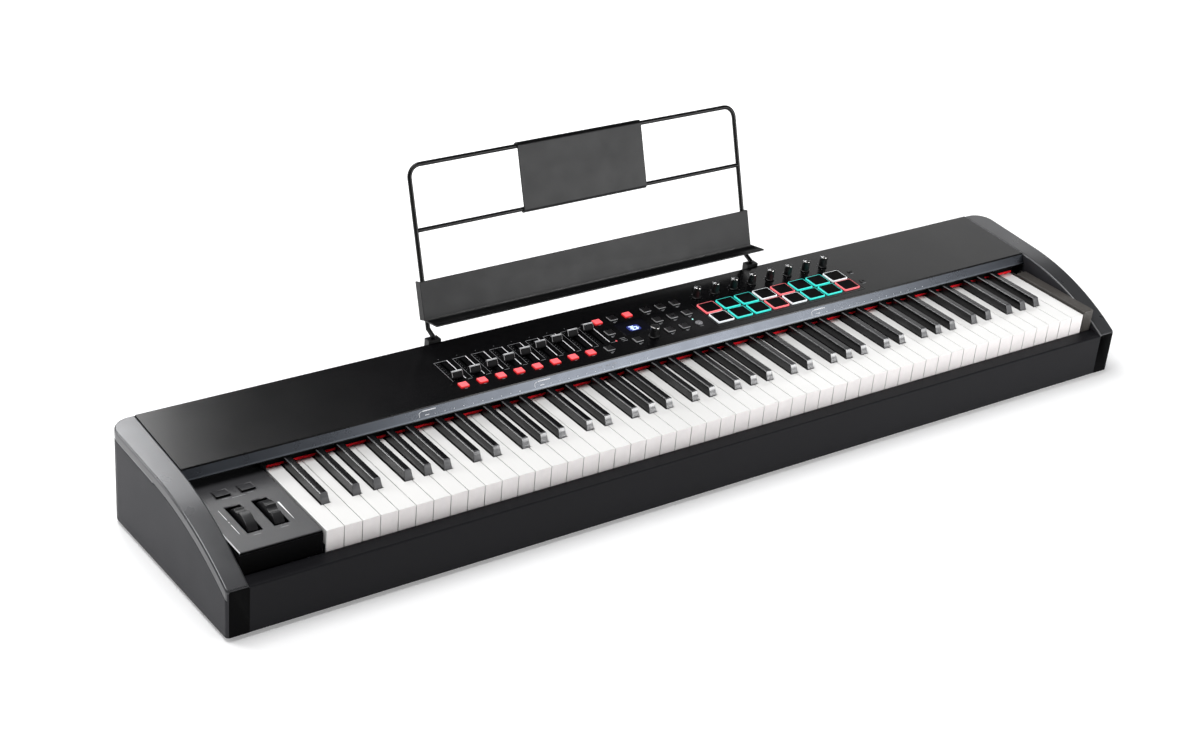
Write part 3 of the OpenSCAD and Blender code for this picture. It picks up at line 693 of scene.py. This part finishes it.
CHEEK_ARC_Y = 157  # the cheek's top is level with the panel behind this, and an arc before it
CHEEK_RADIUS = 381
CHEEK_CAP = 12.88  # height of the satin cap along the cheek's top
CHEEK_TOP_W = 8  # a top face is wider than this, and the groove's faces are narrower
CHEEK_ROLL = 2.6


def cheek_edge(edge):
    """An edge between the cheek's top and one of its sides."""
    tops = [f for f in edge.link_faces if f.normal.z > 0.6]
    sides = [f for f in edge.link_faces if abs(f.normal.z) < 0.2]
    if len(tops) != 1 or len(sides) != 1:
        return False
    xs = [v.co.x for v in tops[0].verts]
    return max(xs) - min(xs) > CHEEK_TOP_W * MM


def cheek_height(y):
    """Height of the cheek's top."""
    if y > CHEEK_ARC_Y:
        return PANEL_Z + (y - PANEL_Y) * math.tan(PANEL_SLOPE)
    middle_y = CHEEK_ARC_Y + CHEEK_RADIUS * math.sin(PANEL_SLOPE)
    arc_top = PANEL_Z + (CHEEK_ARC_Y - PANEL_Y) * math.tan(PANEL_SLOPE)
    middle_z = arc_top - CHEEK_RADIUS * math.cos(PANEL_SLOPE)
    return middle_z + math.sqrt(CHEEK_RADIUS**2 - (middle_y - y) ** 2)


def paint_cheek(face):
    """A satin cap, grained sides and a front in painted shade."""
    if face.normal.y < -0.9:
        return 2
    point = (face.calc_center_median() - ORIGIN) / MM
    return 0 if point.z > cheek_height(point.y) - CHEEK_CAP else 1


# heights of the lip's painted band and of the painted highlight at its foot, as shares of the lip
BAND_FOOT, HIGHLIGHT_TOP, BAND_TOP = 0.08, 0.2, 0.87


def prepare_lip(bm):
    """Cuts the sloping lip of the panel where its painted band starts and ends."""
    for share in (BAND_FOOT, HIGHLIGHT_TOP, BAND_TOP):
        cut = LIP @ Vector((0, LIP_L * share, 0))
        everything = [*bm.verts, *bm.edges, *bm.faces]
        bmesh.ops.bisect_plane(bm, geom=everything, plane_co=cut, plane_no=LIP_RISE)


def paint_lip(face):
    """A grey band on the lip, with a lighter stripe at its foot that is a painted highlight."""
    point = LIP.inverted() @ face.calc_center_median()
    share = point.y / LIP_L
    on_lip = face.normal.dot(LIP_NORMAL) > 0.99 and abs(point.z) < 0.2
    if not (on_lip and BAND_FOOT < share < BAND_TOP):
        return 0
    return 2 if share < HIGHLIGHT_TOP else 1


def outer_edge(edge):
    """An edge of the panel's outline, not one of its slots or button holes."""
    near, under_lip = 2, 12
    middle = edge_middle(edge)
    ends = middle.x < CASE_LEFT + near or middle.x > CASE_RIGHT - near
    front_or_rear = middle.y < PANEL_Y + near or middle.y > CASE_REAR - near
    return middle.z > under_lip and (front_or_rear or ends)


def paint_wheel_panel(face):
    """Painted shade on the front and the left side, and a painted highlight along the left edge."""
    left_end = -100
    if face.normal.y < -0.9 or face.normal.x < -0.9:
        return 1
    at_left = (face.calc_center_median().x - ORIGIN.x) / MM < left_end
    return 2 if at_left and face.normal.x < -0.15 and face.normal.z > 0.15 else 0


def make_case():
    """The fixed pieces of the case."""
    cheek = [MAT["cheek_top"], MAT["cheek_side"], MAT["front"]]
    for node in ("left_cheek", "right_cheek"):
        soft_copy(node, cheek, CHEEK_ROLL, cheek_edge, paint_cheek, segments=4)
    soft_copy(
        "top_panel",
        [MAT["panel"], MAT["fascia"], MAT["fascia_highlight"]],
        0.35,
        outer_edge,
        paint_lip,
        segments=2,
        prepare=prepare_lip,
    )
    soft_copy("front_rail", [MAT["case"]], 0.5)
    soft_copy("base_pan", [MAT["rear"]], 0.4, above(-80))
    soft_copy(
        "wheel_panel",
        [MAT["wheel_panel"], MAT["front"], MAT["edge"]],
        1.5,
        above(-2),
        paint_wheel_panel,
    )
    soft_copy("key_end_block", [MAT["end_block"]], 1.2, above(-27))
    soft_copy("rubber_feet", [MAT["rubber"]], 1.2, segments=4)
    soft_copy("stand_sockets", [MAT["wire"]], 0.8)
    soft_copy("rear_connectors", [MAT["socket"]], 0.25, segments=2)
    dress("case_screws", MAT["steel"])
    dress("key_bed", MAT["steel"])
    dress("circuit_boards", MAT["board"])


FELT_END = 1  # the strip stops this far inside the outer keys
FELT_STEPS = 520
FELT_LOW, FELT_HIGH = 0.9, 5.0
FELT_FRONT, FELT_REAR = 147.8, 150.0


def felt_section(x, step):
    """The felt's outline at one place along it; slow and quick waves make its face uneven."""
    front = FELT_FRONT + 0.25 * math.sin(step * 1.7) + 0.2 * math.sin(step * 0.43 + 1)
    foot = FELT_LOW + 0.3 * (1 + math.sin(step * 0.91))
    return [
        (x, front, FELT_HIGH),
        (x, front + 0.1, foot + 0.8),
        (x, front + 0.9, foot),
        (x, FELT_REAR, foot),
        (x, FELT_REAR, FELT_HIGH),
    ]


def make_felt():
    """The red felt strip behind the lip."""
    length = KEYS_W - 2 * FELT_END
    bm = bmesh.new()
    rings = [
        felt_section(FELT_END + length * i / FELT_STEPS, i) for i in range(FELT_STEPS + 1)
    ]
    loft(bm, KEYBOARD, rings, 0)
    add_piece("felt_strip", bm, "root", "case_black", MAT["felt"])


def make_shade_above_felt():
    """A black strip above the felt, a painted shade for the shadow under the lip; its top meets the
    underside of the lip.
    """
    front, foot, front_top, rear_top = 148.6, 4.6, 13.15, 16.1
    section = [(front, foot), (FELT_REAR, foot), (FELT_REAR, rear_top), (front, front_top)]
    bm = bmesh.new()
    rings = [[(x, y, z) for y, z in section] for x in (FELT_END, KEYS_W - FELT_END)]
    loft(bm, KEYBOARD, rings, 0)
    add_piece("shade_above_felt", bm, "root", "case_black", MAT["front"])


make_case()
make_felt()
make_shade_above_felt()

# ---------------------------------------------------------------- keys


def paint_black_key(face):
    """A painted highlight on the front face and the upper left edge of a black key."""
    upper_left = face.normal.x < -0.35 and face.normal.z > 0.35
    return 1 if upper_left or face.normal.y < -0.4 else 0


def white_key_edge(edge):
    """An edge of a white key's visible part: not its foot, and not its end under the panel."""
    foot, tail = -19, 146
    middle = edge_middle(edge)
    return middle.z > foot and middle.y < tail


def paint_white_key(face):
    """A gloss key with a slightly greyer, pinkish front in painted shade."""
    return 1 if face.normal.y < -0.8 else 0


def make_keys():
    """White keys with rounded tops and corners, and satin black keys."""
    black = [MAT["black_key"], MAT["key_edge"]]
    white = [MAT["white_key"], MAT["key_front"]]
    for node, body in BODY_OF.items():
        if not (body in ("keys_low", "keys_high") or body.startswith("key_")):
            continue
        if "weights" in node:
            dress(node, MAT["steel"])
        elif "black" in node or "sharp" in node:
            soft_copy(node, black, 0.5, above(-3), paint_black_key)
        else:
            soft_copy(node, white, 0.45, white_key_edge, paint_white_key)


make_keys()

# ---------------------------------------------------------------- pads and buttons

# colors of the two rows of pads, front row first, left to right
PAD_ROWS = (
    ("white", "teal", "teal", "red", "white", "teal", "teal", "red"),
    ("red", "teal", "teal", "white", "red", "teal", "teal", "white"),
)
PAD_RIM = 1.1  # width of the lit rim
PAD_GAP = 0.6  # how much the lit frame is smaller than the CAD's pad
PAD_RAISED = 0.25  # how far the rubber stands above the rim


def centre(box):
    """The middle of a box."""
    return (box[0] + box[1]) / 2


def box_size(box):
    """The width and depth of a box."""
    return box[1].x - box[0].x, box[1].y - box[0].y


def make_pads():
    """Soft black pads in translucent frames that glow in the color of each pad."""
    lights = {"red": 1, "teal": 2, "white": 3}
    bm = bmesh.new()
    for index, box in enumerate(islands("pads", PANEL)):
        light = lights[PAD_ROWS[index % 2][index // 2]]
        mid, top = centre(box), box[1].z
        w, d = (size - PAD_GAP for size in box_size(box))
        place = shifted(PANEL, mid.x, mid.y)
        rim = top - PAD_RAISED
        cap(bm, place, (w, d), box[0].z, rim, corner=2.4, edge=0.5, side=light, top=light)
        inner = (w - 2 * PAD_RIM, d - 2 * PAD_RIM)
        cap(bm, place, inner, top - 0.6, top, corner=1.6)
    add_piece(
        "pads_lit",
        bm,
        "pads",
        "pad_rubber",
        MAT["pad"],
        MAT["pad_red"],
        MAT["pad_teal"],
        MAT["pad_white"],
        replaces=["pads"],
    )


def make_lit_buttons():
    """Translucent red caps whose sides glow darker."""
    bm = bmesh.new()
    for box in islands("lit_buttons", PANEL):
        mid = centre(box)
        place = shifted(PANEL, mid.x, mid.y)
        low, high = box[0].z, box[1].z
        cap(bm, place, box_size(box), low, high, corner=0.9, edge=0.5, side=1, dish=0.15)
    add_piece(
        "lit_button_caps",
        bm,
        "lit_buttons",
        "lit_red",
        MAT["red_light"],
        MAT["red_glow"],
        replaces=["lit_buttons"],
    )


def round_button(bm, place, radius, low, high, mat):
    """A round button with a low dome."""
    tallest, straight = 2.3, 0.4
    dome = min(tallest, high - straight)
    profile = [(radius, low, 0), (radius, high - dome, 0)]
    for turn in (20, 40, 60, 80):
        a = math.radians(turn)
        profile.append((radius * math.cos(a), high - dome * (1 - math.sin(a)), 0))
    lathe(bm, place, profile, mat, steps=36)


def paint_button_edges(bm):
    """A painted highlight on the rounded edges of the black caps that face left or to the front."""
    bm.normal_update()
    for face in bm.faces:
        n = PANEL.to_3x3().inverted() @ face.normal
        n.normalize()
        if face.material_index == 0 and 0.1 < n.z < 0.93 and min(n.x, n.y) < -0.25:
            face.material_index = 1


def make_dark_buttons():
    """Rectangular caps with dished tops, and round buttons, the largest one patterned."""
    woven, gloss, largest = 2, 3, 9
    bm = bmesh.new()
    for box in islands("panel_buttons", PANEL):
        mid, (w, d) = centre(box), box_size(box)
        place = shifted(PANEL, mid.x, mid.y)
        low, high = box[0].z, box[1].z
        if abs(w - d) > 0.3:
            cap(bm, place, (w, d), low, high, corner=0.9, edge=0.55, dish=0.2)
        else:
            round_button(bm, place, w / 2, low, high, woven if w > largest else gloss)
    paint_button_edges(bm)
    add_piece(
        "dark_button_caps",
        bm,
        "panel_buttons",
        "control_black",
        MAT["control"],
        MAT["button_highlight"],
        MAT["patterned"],
        MAT["gloss"],
        replaces=["panel_buttons"],
    )


make_pads()
make_lit_buttons()
make_dark_buttons()

# ---------------------------------------------------------------- knobs, faders, wheels


KNOB_SKIRT = 0.9  # how far the skirt stands out from the grip
KNOB_STEPS = 72
KNOB_FLUTES = 18
SHAFT_RADIUS, SHAFT_DEPTH = 3.0, 12.5


def knob_shape(bm, place, r, h):
    """A fluted grip of radius r on a skirt, with a bright ring near its top at height h."""
    wide = r + KNOB_SKIRT
    skirt = [
        (r + 0.7, 0.6, 0),
        (wide, 0.9, 0),
        (wide, 1.7, 0),
        (r + 0.6, 2.0, 0),
        (r - 0.6, 2.1, 0),
    ]
    lathe(bm, place, skirt, 0)
    grip = [(r, 2.0, 0), (r, 2.6, 0.4), (r - 0.35, h - 2.6, 0.4), (r - 0.4, h - 2.0, 0)]
    crown = [
        (r - 0.35, h - 1.9, 0),
        (r - 0.45, h - 0.9, 0),
        (r - 0.9, h - 0.35, 0),
        (r - 1.5, h - 0.1, 0),
        (r - 1.8, h - 0.1, 0),
        (r - 2.1, h - 0.45, 0),
    ]
    lathe(bm, place, grip + crown[:1], 0, KNOB_STEPS, KNOB_FLUTES)
    lathe(bm, place, crown, [0, 2, 0, 0, 0, 0], KNOB_STEPS)


def add_pointer(bm, place, r, h):
    """A white line across the top of a knob, which ends in a small peg."""
    top = shifted(place, z=h - 0.45)
    stroke(bm, top, (-0.6, 0), (-(r - 0.7), 0), 1.0, rise=0.42, mat=1)
    peg = [(0.7, 0, 0), (0.7, 2.2, 0)]
    lathe(bm, shifted(place, -(r - 0.9), 0, h - 2.4), peg, 1, steps=16)


def make_knobs():
    """Eight knobs with a pointer, and the encoder without one."""
    for node in [n for n in NODES if n.startswith("knob_")] + ["encoder_knob"]:
        box = islands(node, PANEL)[0]
        mid, radius, top = centre(box), box_size(box)[0] / 2 - KNOB_SKIRT, box[1].z
        place = shifted(PANEL, mid.x, mid.y)
        bm = bmesh.new()
        knob_shape(bm, place, radius, top)
        if node != "encoder_knob":
            add_pointer(bm, place, radius, top)
        shaft = [(SHAFT_RADIUS, -SHAFT_DEPTH, 0), (SHAFT_RADIUS, 0.8, 0)]
        lathe(bm, place, shaft, 0, steps=32)
        add_piece(
            node + "_turned",
            bm,
            node,
            "control_black",
            MAT["control"],
            MAT["mark"],
            MAT["nickel"],
            replaces=[node],
        )


def paint_fader(face):
    """A painted highlight on the rounded edges that face up, except those at the right."""
    narrow_area = 7e-6  # square metres
    flat = max(abs(c) for c in face.normal) > 0.93
    narrow = face.calc_area() < narrow_area
    return 1 if narrow and not flat and face.normal.z > 0.2 and face.normal.x < 0.3 else 0


def make_faders():
    """Fader caps with rounded edges and a white line along the grip."""
    half_line = 7.4
    for node in [n for n in NODES if n.startswith("fader_")]:
        soft_copy(node, [MAT["fader"], MAT["edge"]], 0.65, above(PANEL_Z), paint_fader)
        box = islands(node, PANEL)[0]
        mid = centre(box)
        bm = bmesh.new()
        top = shifted(PANEL, mid.x, mid.y, box[1].z)
        stroke(bm, top, (-half_line, 0), (half_line, 0), 0.9)
        add_piece(node + "_line", bm, node, "fader_grey", MAT["mark"], smooth=False)


WHEEL_RADIUS = 30
RIB_COUNT = 11
RIB_START, RIB_TURN = 30, 3.2  # degrees behind the top of the wheel, and between two ribs
RIB_SIZE = (10.6, 0.8)


def add_wheel_ribs(node):
    """Fine ribs across the tread behind the thumb dimple."""
    low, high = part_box(node)
    axle = ((low + high) / 2 - ORIGIN) / MM
    axle.z = (high.z - ORIGIN.z) / MM - WHEEL_RADIUS
    bm = bmesh.new()
    for i in range(RIB_COUNT):
        a = math.radians(RIB_START + RIB_TURN * i)
        y, z = WHEEL_RADIUS * math.sin(a), WHEEL_RADIUS * math.cos(a)
        place = plane(axle.x, axle.y + y, axle.z + z, -a)
        cap(bm, place, RIB_SIZE, -0.4, 0.3, corner=0.3, edge=0.25)
    add_piece(node + "_ribs", bm, node, "wheel_black", MAT["wheel"])


def paint_octave(face):
    """Grey top, and black sides in painted shade."""
    return 0 if face.normal.z > 0.7 else 1


def make_wheels():
    """Both wheels with ribbed treads, and the two octave buttons beside them."""
    for node in ("pitch_wheel", "mod_wheel"):
        soft_copy(node, [MAT["wheel"]], 0.9, above(-15), segments=4)
        add_wheel_ribs(node)
    mats = [MAT["wheel_panel"], MAT["front"]]
    soft_copy("octave_buttons", mats, 0.3, above(-1), paint_octave)


make_knobs()
make_faders()
make_wheels()

# ---------------------------------------------------------------- display


SCREEN_SIZE = (19, 13)
SCREEN_SHIFT = (-1, -3)  # from the middle of the lens
# left end, height and length of the bars, from the middle of the lit area
SCREEN_BARS = ((-6, 4.2, 8), (-4.5, 1.6, 11), (-6.5, -1.2, 6), (2.5, -1.4, 5), (-5, -4.0, 10))


def make_display():
    """A smoked glass lens with a small lit area of plain bars in its middle."""
    box = islands("display_lens", PANEL)[0]
    mid, size = centre(box), box_size(box)
    bm = bmesh.new()
    place = shifted(PANEL, mid.x, mid.y)
    cap(bm, place, size, box[0].z, box[1].z, corner=1.2, edge=0.25)
    add_piece(
        "display_window", bm, "root", "lens_dark", MAT["lens"], replaces=["display_lens"]
    )
    bm = bmesh.new()
    lit = shifted(PANEL, mid.x + SCREEN_SHIFT[0], mid.y + SCREEN_SHIFT[1], box[1].z)
    cap(bm, lit, SCREEN_SIZE, -0.03, 0.02, corner=3.5, edge=0.01, side=1, top=1)
    for x, y, length in SCREEN_BARS:
        stroke(bm, lit, (x, y), (x + length, y), 1.3)
    add_piece(
        "display_light", bm, "root", "lens_dark", MAT["screen"], MAT["screen_back"], smooth=False
    )


make_display()

# ---------------------------------------------------------------- printed marks

# black ink also draws the painted shadows by the octave buttons
WHITE_INK, GREY_INK, BLACK_INK = 0, 1, 2
FADER_COUNT, KNOB_COUNT = 9, 8
FRAME_REAR = 233.6  # y of the fader frames' rear line
# start, end, width and ink of the lines round a fader; x from the fader's, y on the keyboard
FADER_LINES = (
    ((-8.4, 186), (-8.4, FRAME_REAR), 0.45, GREY_INK),
    ((-8.6, FRAME_REAR), (10.0, FRAME_REAR), 0.6, GREY_INK),
    ((10.6, 187), (10.6, FRAME_REAR + 0.2), 1.1, WHITE_INK),
    ((11.5, 184.3), (19, 184.3), 0.5, GREY_INK),
)
SCALE_X, SCALE_START, SCALE_LENGTH, SCALE_STEPS = -5.2, 189, 40, 8
REAR_DOT_X, REAR_DOT_Y = 1.7, 239.7


def mark_faders(bm):
    """A frame of thin lines with a dotted scale by each fader, and a dot behind it."""
    for k in range(FADER_COUNT):
        x = centre(islands(f"fader_{k + 1}", PANEL)[0]).x
        for start, end, width, ink in FADER_LINES:
            a, b = on_panel(x + start[0], start[1]), on_panel(x + end[0], end[1])
            stroke(bm, PANEL, a, b, width, mat=ink)
        for i in range(SCALE_STEPS + 1):
            y = SCALE_START + SCALE_LENGTH * i / SCALE_STEPS
            dot(bm, PANEL, *on_panel(x + SCALE_X, y), 0.35, GREY_INK)
        dot(bm, PANEL, *on_panel(x + REAR_DOT_X, REAR_DOT_Y), 0.45, GREY_INK)


def dash(bm, place, x, y, length, width, mat=GREY_INK):
    """A short line that stands for a label; x is its left end."""
    stroke(bm, place, (x, y), (x + length, y), width, mat=mat)


def mark_buttons(bm):
    """A dash before each button, and a second one before the wide buttons."""
    wide = 12
    for box in islands("lit_buttons", PANEL):
        mid = centre(box)
        dash(bm, PANEL, mid.x - 2, mid.y - 7, 4, 0.7)
    for box in islands("panel_buttons", PANEL):
        x, y = centre(box).x - 3.4, box[0].y - 2.4
        dash(bm, PANEL, x, y, 6, 0.8)
        if box_size(box)[0] > wide:
            dash(bm, PANEL, x, y - 1.8, 3, 0.7)


def mark_pads(bm):
    """A raised black line round three sides of the pads."""
    margin_x, margin_y, depth, width, rise = 4, 5, 62, 0.8, 0.3
    boxes = islands("pads", PANEL)
    left, right = boxes[0][0].x - margin_x, boxes[-1][1].x + margin_x
    front = min(low.y for low, _ in boxes) - margin_y
    rear = front + depth
    for start, end in (
        ((left, front), (right, front)),
        ((left, front), (left, rear)),
        ((right, front), (right, rear)),
    ):
        stroke(bm, PANEL, start, end, width, rise=rise, mat=BLACK_INK)


def mark_knobs(bm):
    """A ring of fine dots round each knob, and a larger dot behind it."""
    ring = 8.4
    for k in range(KNOB_COUNT):
        box = islands(f"knob_{k + 1}", PANEL)[0]
        mid = centre(box)
        dot(bm, PANEL, mid.x, box[1].y + 3, 0.6, GREY_INK)
        for turn in range(-45, 226, 45):
            a = math.radians(turn)
            dot(bm, PANEL, mid.x + ring * math.cos(a), mid.y + ring * math.sin(a), 0.3, GREY_INK)


SEMITONE = 13.8
BRACKETS = (207, 376, 833)  # x of the brackets
# start, end and width of a bracket's lines; x from the bracket's, y up the lip
BRACKET_LINES = (
    ((0, 4.5), (0, 9.5), 0.6),
    ((0, 9.5), (4, 11.4), 0.6),
    ((5, 11.4), (24, 11.4), 1.2),
    ((8, 6.0), (14, 6.0), 0.9),
)
DOT_ROWS = ((229, 10), (400, 12), (846, 15))  # x of the first dot and number of dots
LIP_DASHES = (463, 474, 486, 497)
DOT_HEIGHT, DASH_HEIGHT = 5.2, 9.2


def mark_lip(bm):
    """Dots over the keys along the lip, three small brackets that mark groups, and dashes."""
    for x in BRACKETS:
        for start, end, width in BRACKET_LINES:
            stroke(bm, LIP, (x + start[0], start[1]), (x + end[0], end[1]), width)
    for first, count in DOT_ROWS:
        for k in range(count):
            dot(bm, LIP, first + SEMITONE * k, DOT_HEIGHT, 0.55 if k % 2 else 0.45)
    for x in LIP_DASHES:
        dash(bm, LIP, x, DASH_HEIGHT, 6, 0.8)


PITCH_LINE_X, MOD_LINE_X = -88.4, -20.0
# start, end, and the widths at both ends of the lines that show the wheels' travel
TRAVEL_LINES = (
    ((PITCH_LINE_X, 69.4), (PITCH_LINE_X, 91.5), 0.9, 0.5),
    ((PITCH_LINE_X, 58.8), (PITCH_LINE_X, 37.8), 0.9, 0.5),
    ((MOD_LINE_X, 78), (MOD_LINE_X, 39), 2.4, 0.3),
)
# x, y, length and width of the dashes by the wheels and the octave buttons
WHEEL_DASHES = (
    (-75.6, 28.8, 9.3, 0.9),
    (-41.5, 28.8, 9.3, 0.9),
    (-62.4, 109.3, 17.1, 0.9),
    (-74, 111.3, 8, 0.8),
    (-42, 111.3, 8, 0.8),
)


def mark_wheels(bm):
    """Lines and dashes by the wheels, and a black line round each octave button's near corner, a
    painted shadow.
    """
    for start, end, width, end_width in TRAVEL_LINES:
        stroke(bm, WHEELS, start, end, width, end_width)
    for x, y, length, width in WHEEL_DASHES:
        dash(bm, WHEELS, x, y, length, width)
    dot(bm, WHEELS, PITCH_LINE_X, 64.1, 0.8)
    # a painted shadow along the front and the left of each octave button
    for low, high in islands("octave_buttons", WHEELS):
        side, front = low.x - 0.5, low.y - 0.5
        stroke(bm, WHEELS, (side, front - 0.3), (side, high.y), 1.0, mat=BLACK_INK)
        stroke(bm, WHEELS, (side - 0.5, front), (high.x, front), 1.0, mat=BLACK_INK)


RED_LAMP, TEAL_LAMP = (528.2, 185.3), (658.1, 190.9)


def mark_lamp(bm):
    """Three short dashes beside the red lamp."""
    for y in (181.5, 185, 188.5):
        x, along = on_panel(536, y)
        dash(bm, PANEL, x, along, 8, 0.8)


def make_marks():
    """Everything that is printed on the case, and the painted shadows by the octave buttons."""
    bm = bmesh.new()
    mark_faders(bm)
    mark_buttons(bm)
    mark_pads(bm)
    mark_knobs(bm)
    mark_lip(bm)
    mark_wheels(bm)
    mark_lamp(bm)
    add_piece(
        "printed_marks_and_painted_shadows",
        bm,
        "root",
        "case_black",
        MAT["mark"],
        MAT["faint"],
        MAT["control"],
        smooth=False,
    )


def make_lamps():
    """A small red lamp and a small teal lamp in the panel."""
    bm = bmesh.new()
    dome = [(1.1, INK_ROOT, 0), (1.1, 0.25, 0), (0.7, 0.55, 0)]
    for mat, lamp in enumerate((RED_LAMP, TEAL_LAMP)):
        lathe(bm, shifted(PANEL, *on_panel(*lamp)), dome, mat, steps=20)
    add_piece("status_lights", bm, "root", "lit_red", MAT["red_light"], MAT["led_teal"])


make_marks()
make_lamps()

# ---------------------------------------------------------------- music stand


def paint_sheet(face):
    """Grey sheet, with painted shade where it lies flat."""
    return 1 if abs(face.normal.z) > 0.6 else 0


def make_stand():
    """The wire frame, and the bent shelf and the plate with rounded edges."""
    dress("stand_frame", MAT["wire"])
    NODES["stand_frame"].data.shade_smooth()
    for node in ("stand_shelf", "stand_plate"):
        soft_copy(node, [MAT["sheet"], MAT["wire"]], 0.45, paint=paint_sheet)


make_stand()

# ---------------------------------------------------------------- rear

JACKS = [m for m in frame["record"]["mounts"] if m["name"].startswith("pedal_jack")]
DINS = [m for m in frame["record"]["mounts"] if m["name"].startswith("midi_")]


def rear_point(mount):
    """A mount's place on the rear wall, in the rear plane's own axes."""
    point = REAR.inverted() @ Vector(mount["pos_m"])
    return point.x, point.y


def add_jack(bm, place):
    """A hexagonal nut round a sleeve that goes in."""
    nut = [(5.6, 0, 0), (5.6, 1.2, 0), (5.0, 1.6, 0), (3.5, 1.6, 0), (3.4, 0, 0)]
    lathe(bm, place, nut, 0, steps=6, cap_low=False, cap_high=False)
    sleeve = [(4.3, 1.6, 0), (4.3, 2.2, 0), (3.4, 2.4, 0), (3.3, -8, 0)]
    lathe(bm, place, sleeve, 0, steps=32, cap_low=False, cap_high=False)


def add_round_socket(bm, place):
    """A metal shell with a black insert and five pins on a half circle."""
    pins, ring, deep = 5, 4.6, 5.2
    shell = [(7.4, -6, 0), (7.4, 0.5, 0), (6.7, 0.5, 0), (6.7, -6, 0)]
    lathe(bm, place, shell, 0, steps=40, cap_low=False, cap_high=False)
    lathe(bm, place, [(6.7, -9, 0), (6.7, -5, 0)], 1, steps=40)
    for i in range(pins):
        a = math.radians(180 + 45 * i)
        pin = shifted(place, ring * math.cos(a), ring * math.sin(a), -deep)
        lathe(bm, pin, [(0.7, 0, 0), (0.7, 3.4, 0), (0.4, 3.8, 0)], 0, steps=14)


def make_rear():
    """The metal of the jacks and the round sockets, and the power switch."""
    bm = bmesh.new()
    for mount in JACKS:
        add_jack(bm, shifted(REAR, *rear_point(mount)))
    for mount in DINS:
        add_round_socket(bm, shifted(REAR, *rear_point(mount)))
    add_piece("connector_metal", bm, "root", "connector_black", MAT["nickel"], MAT["socket"])
    soft_copy("power_switch", [MAT["control"]], 0.3, segments=2)


make_rear()
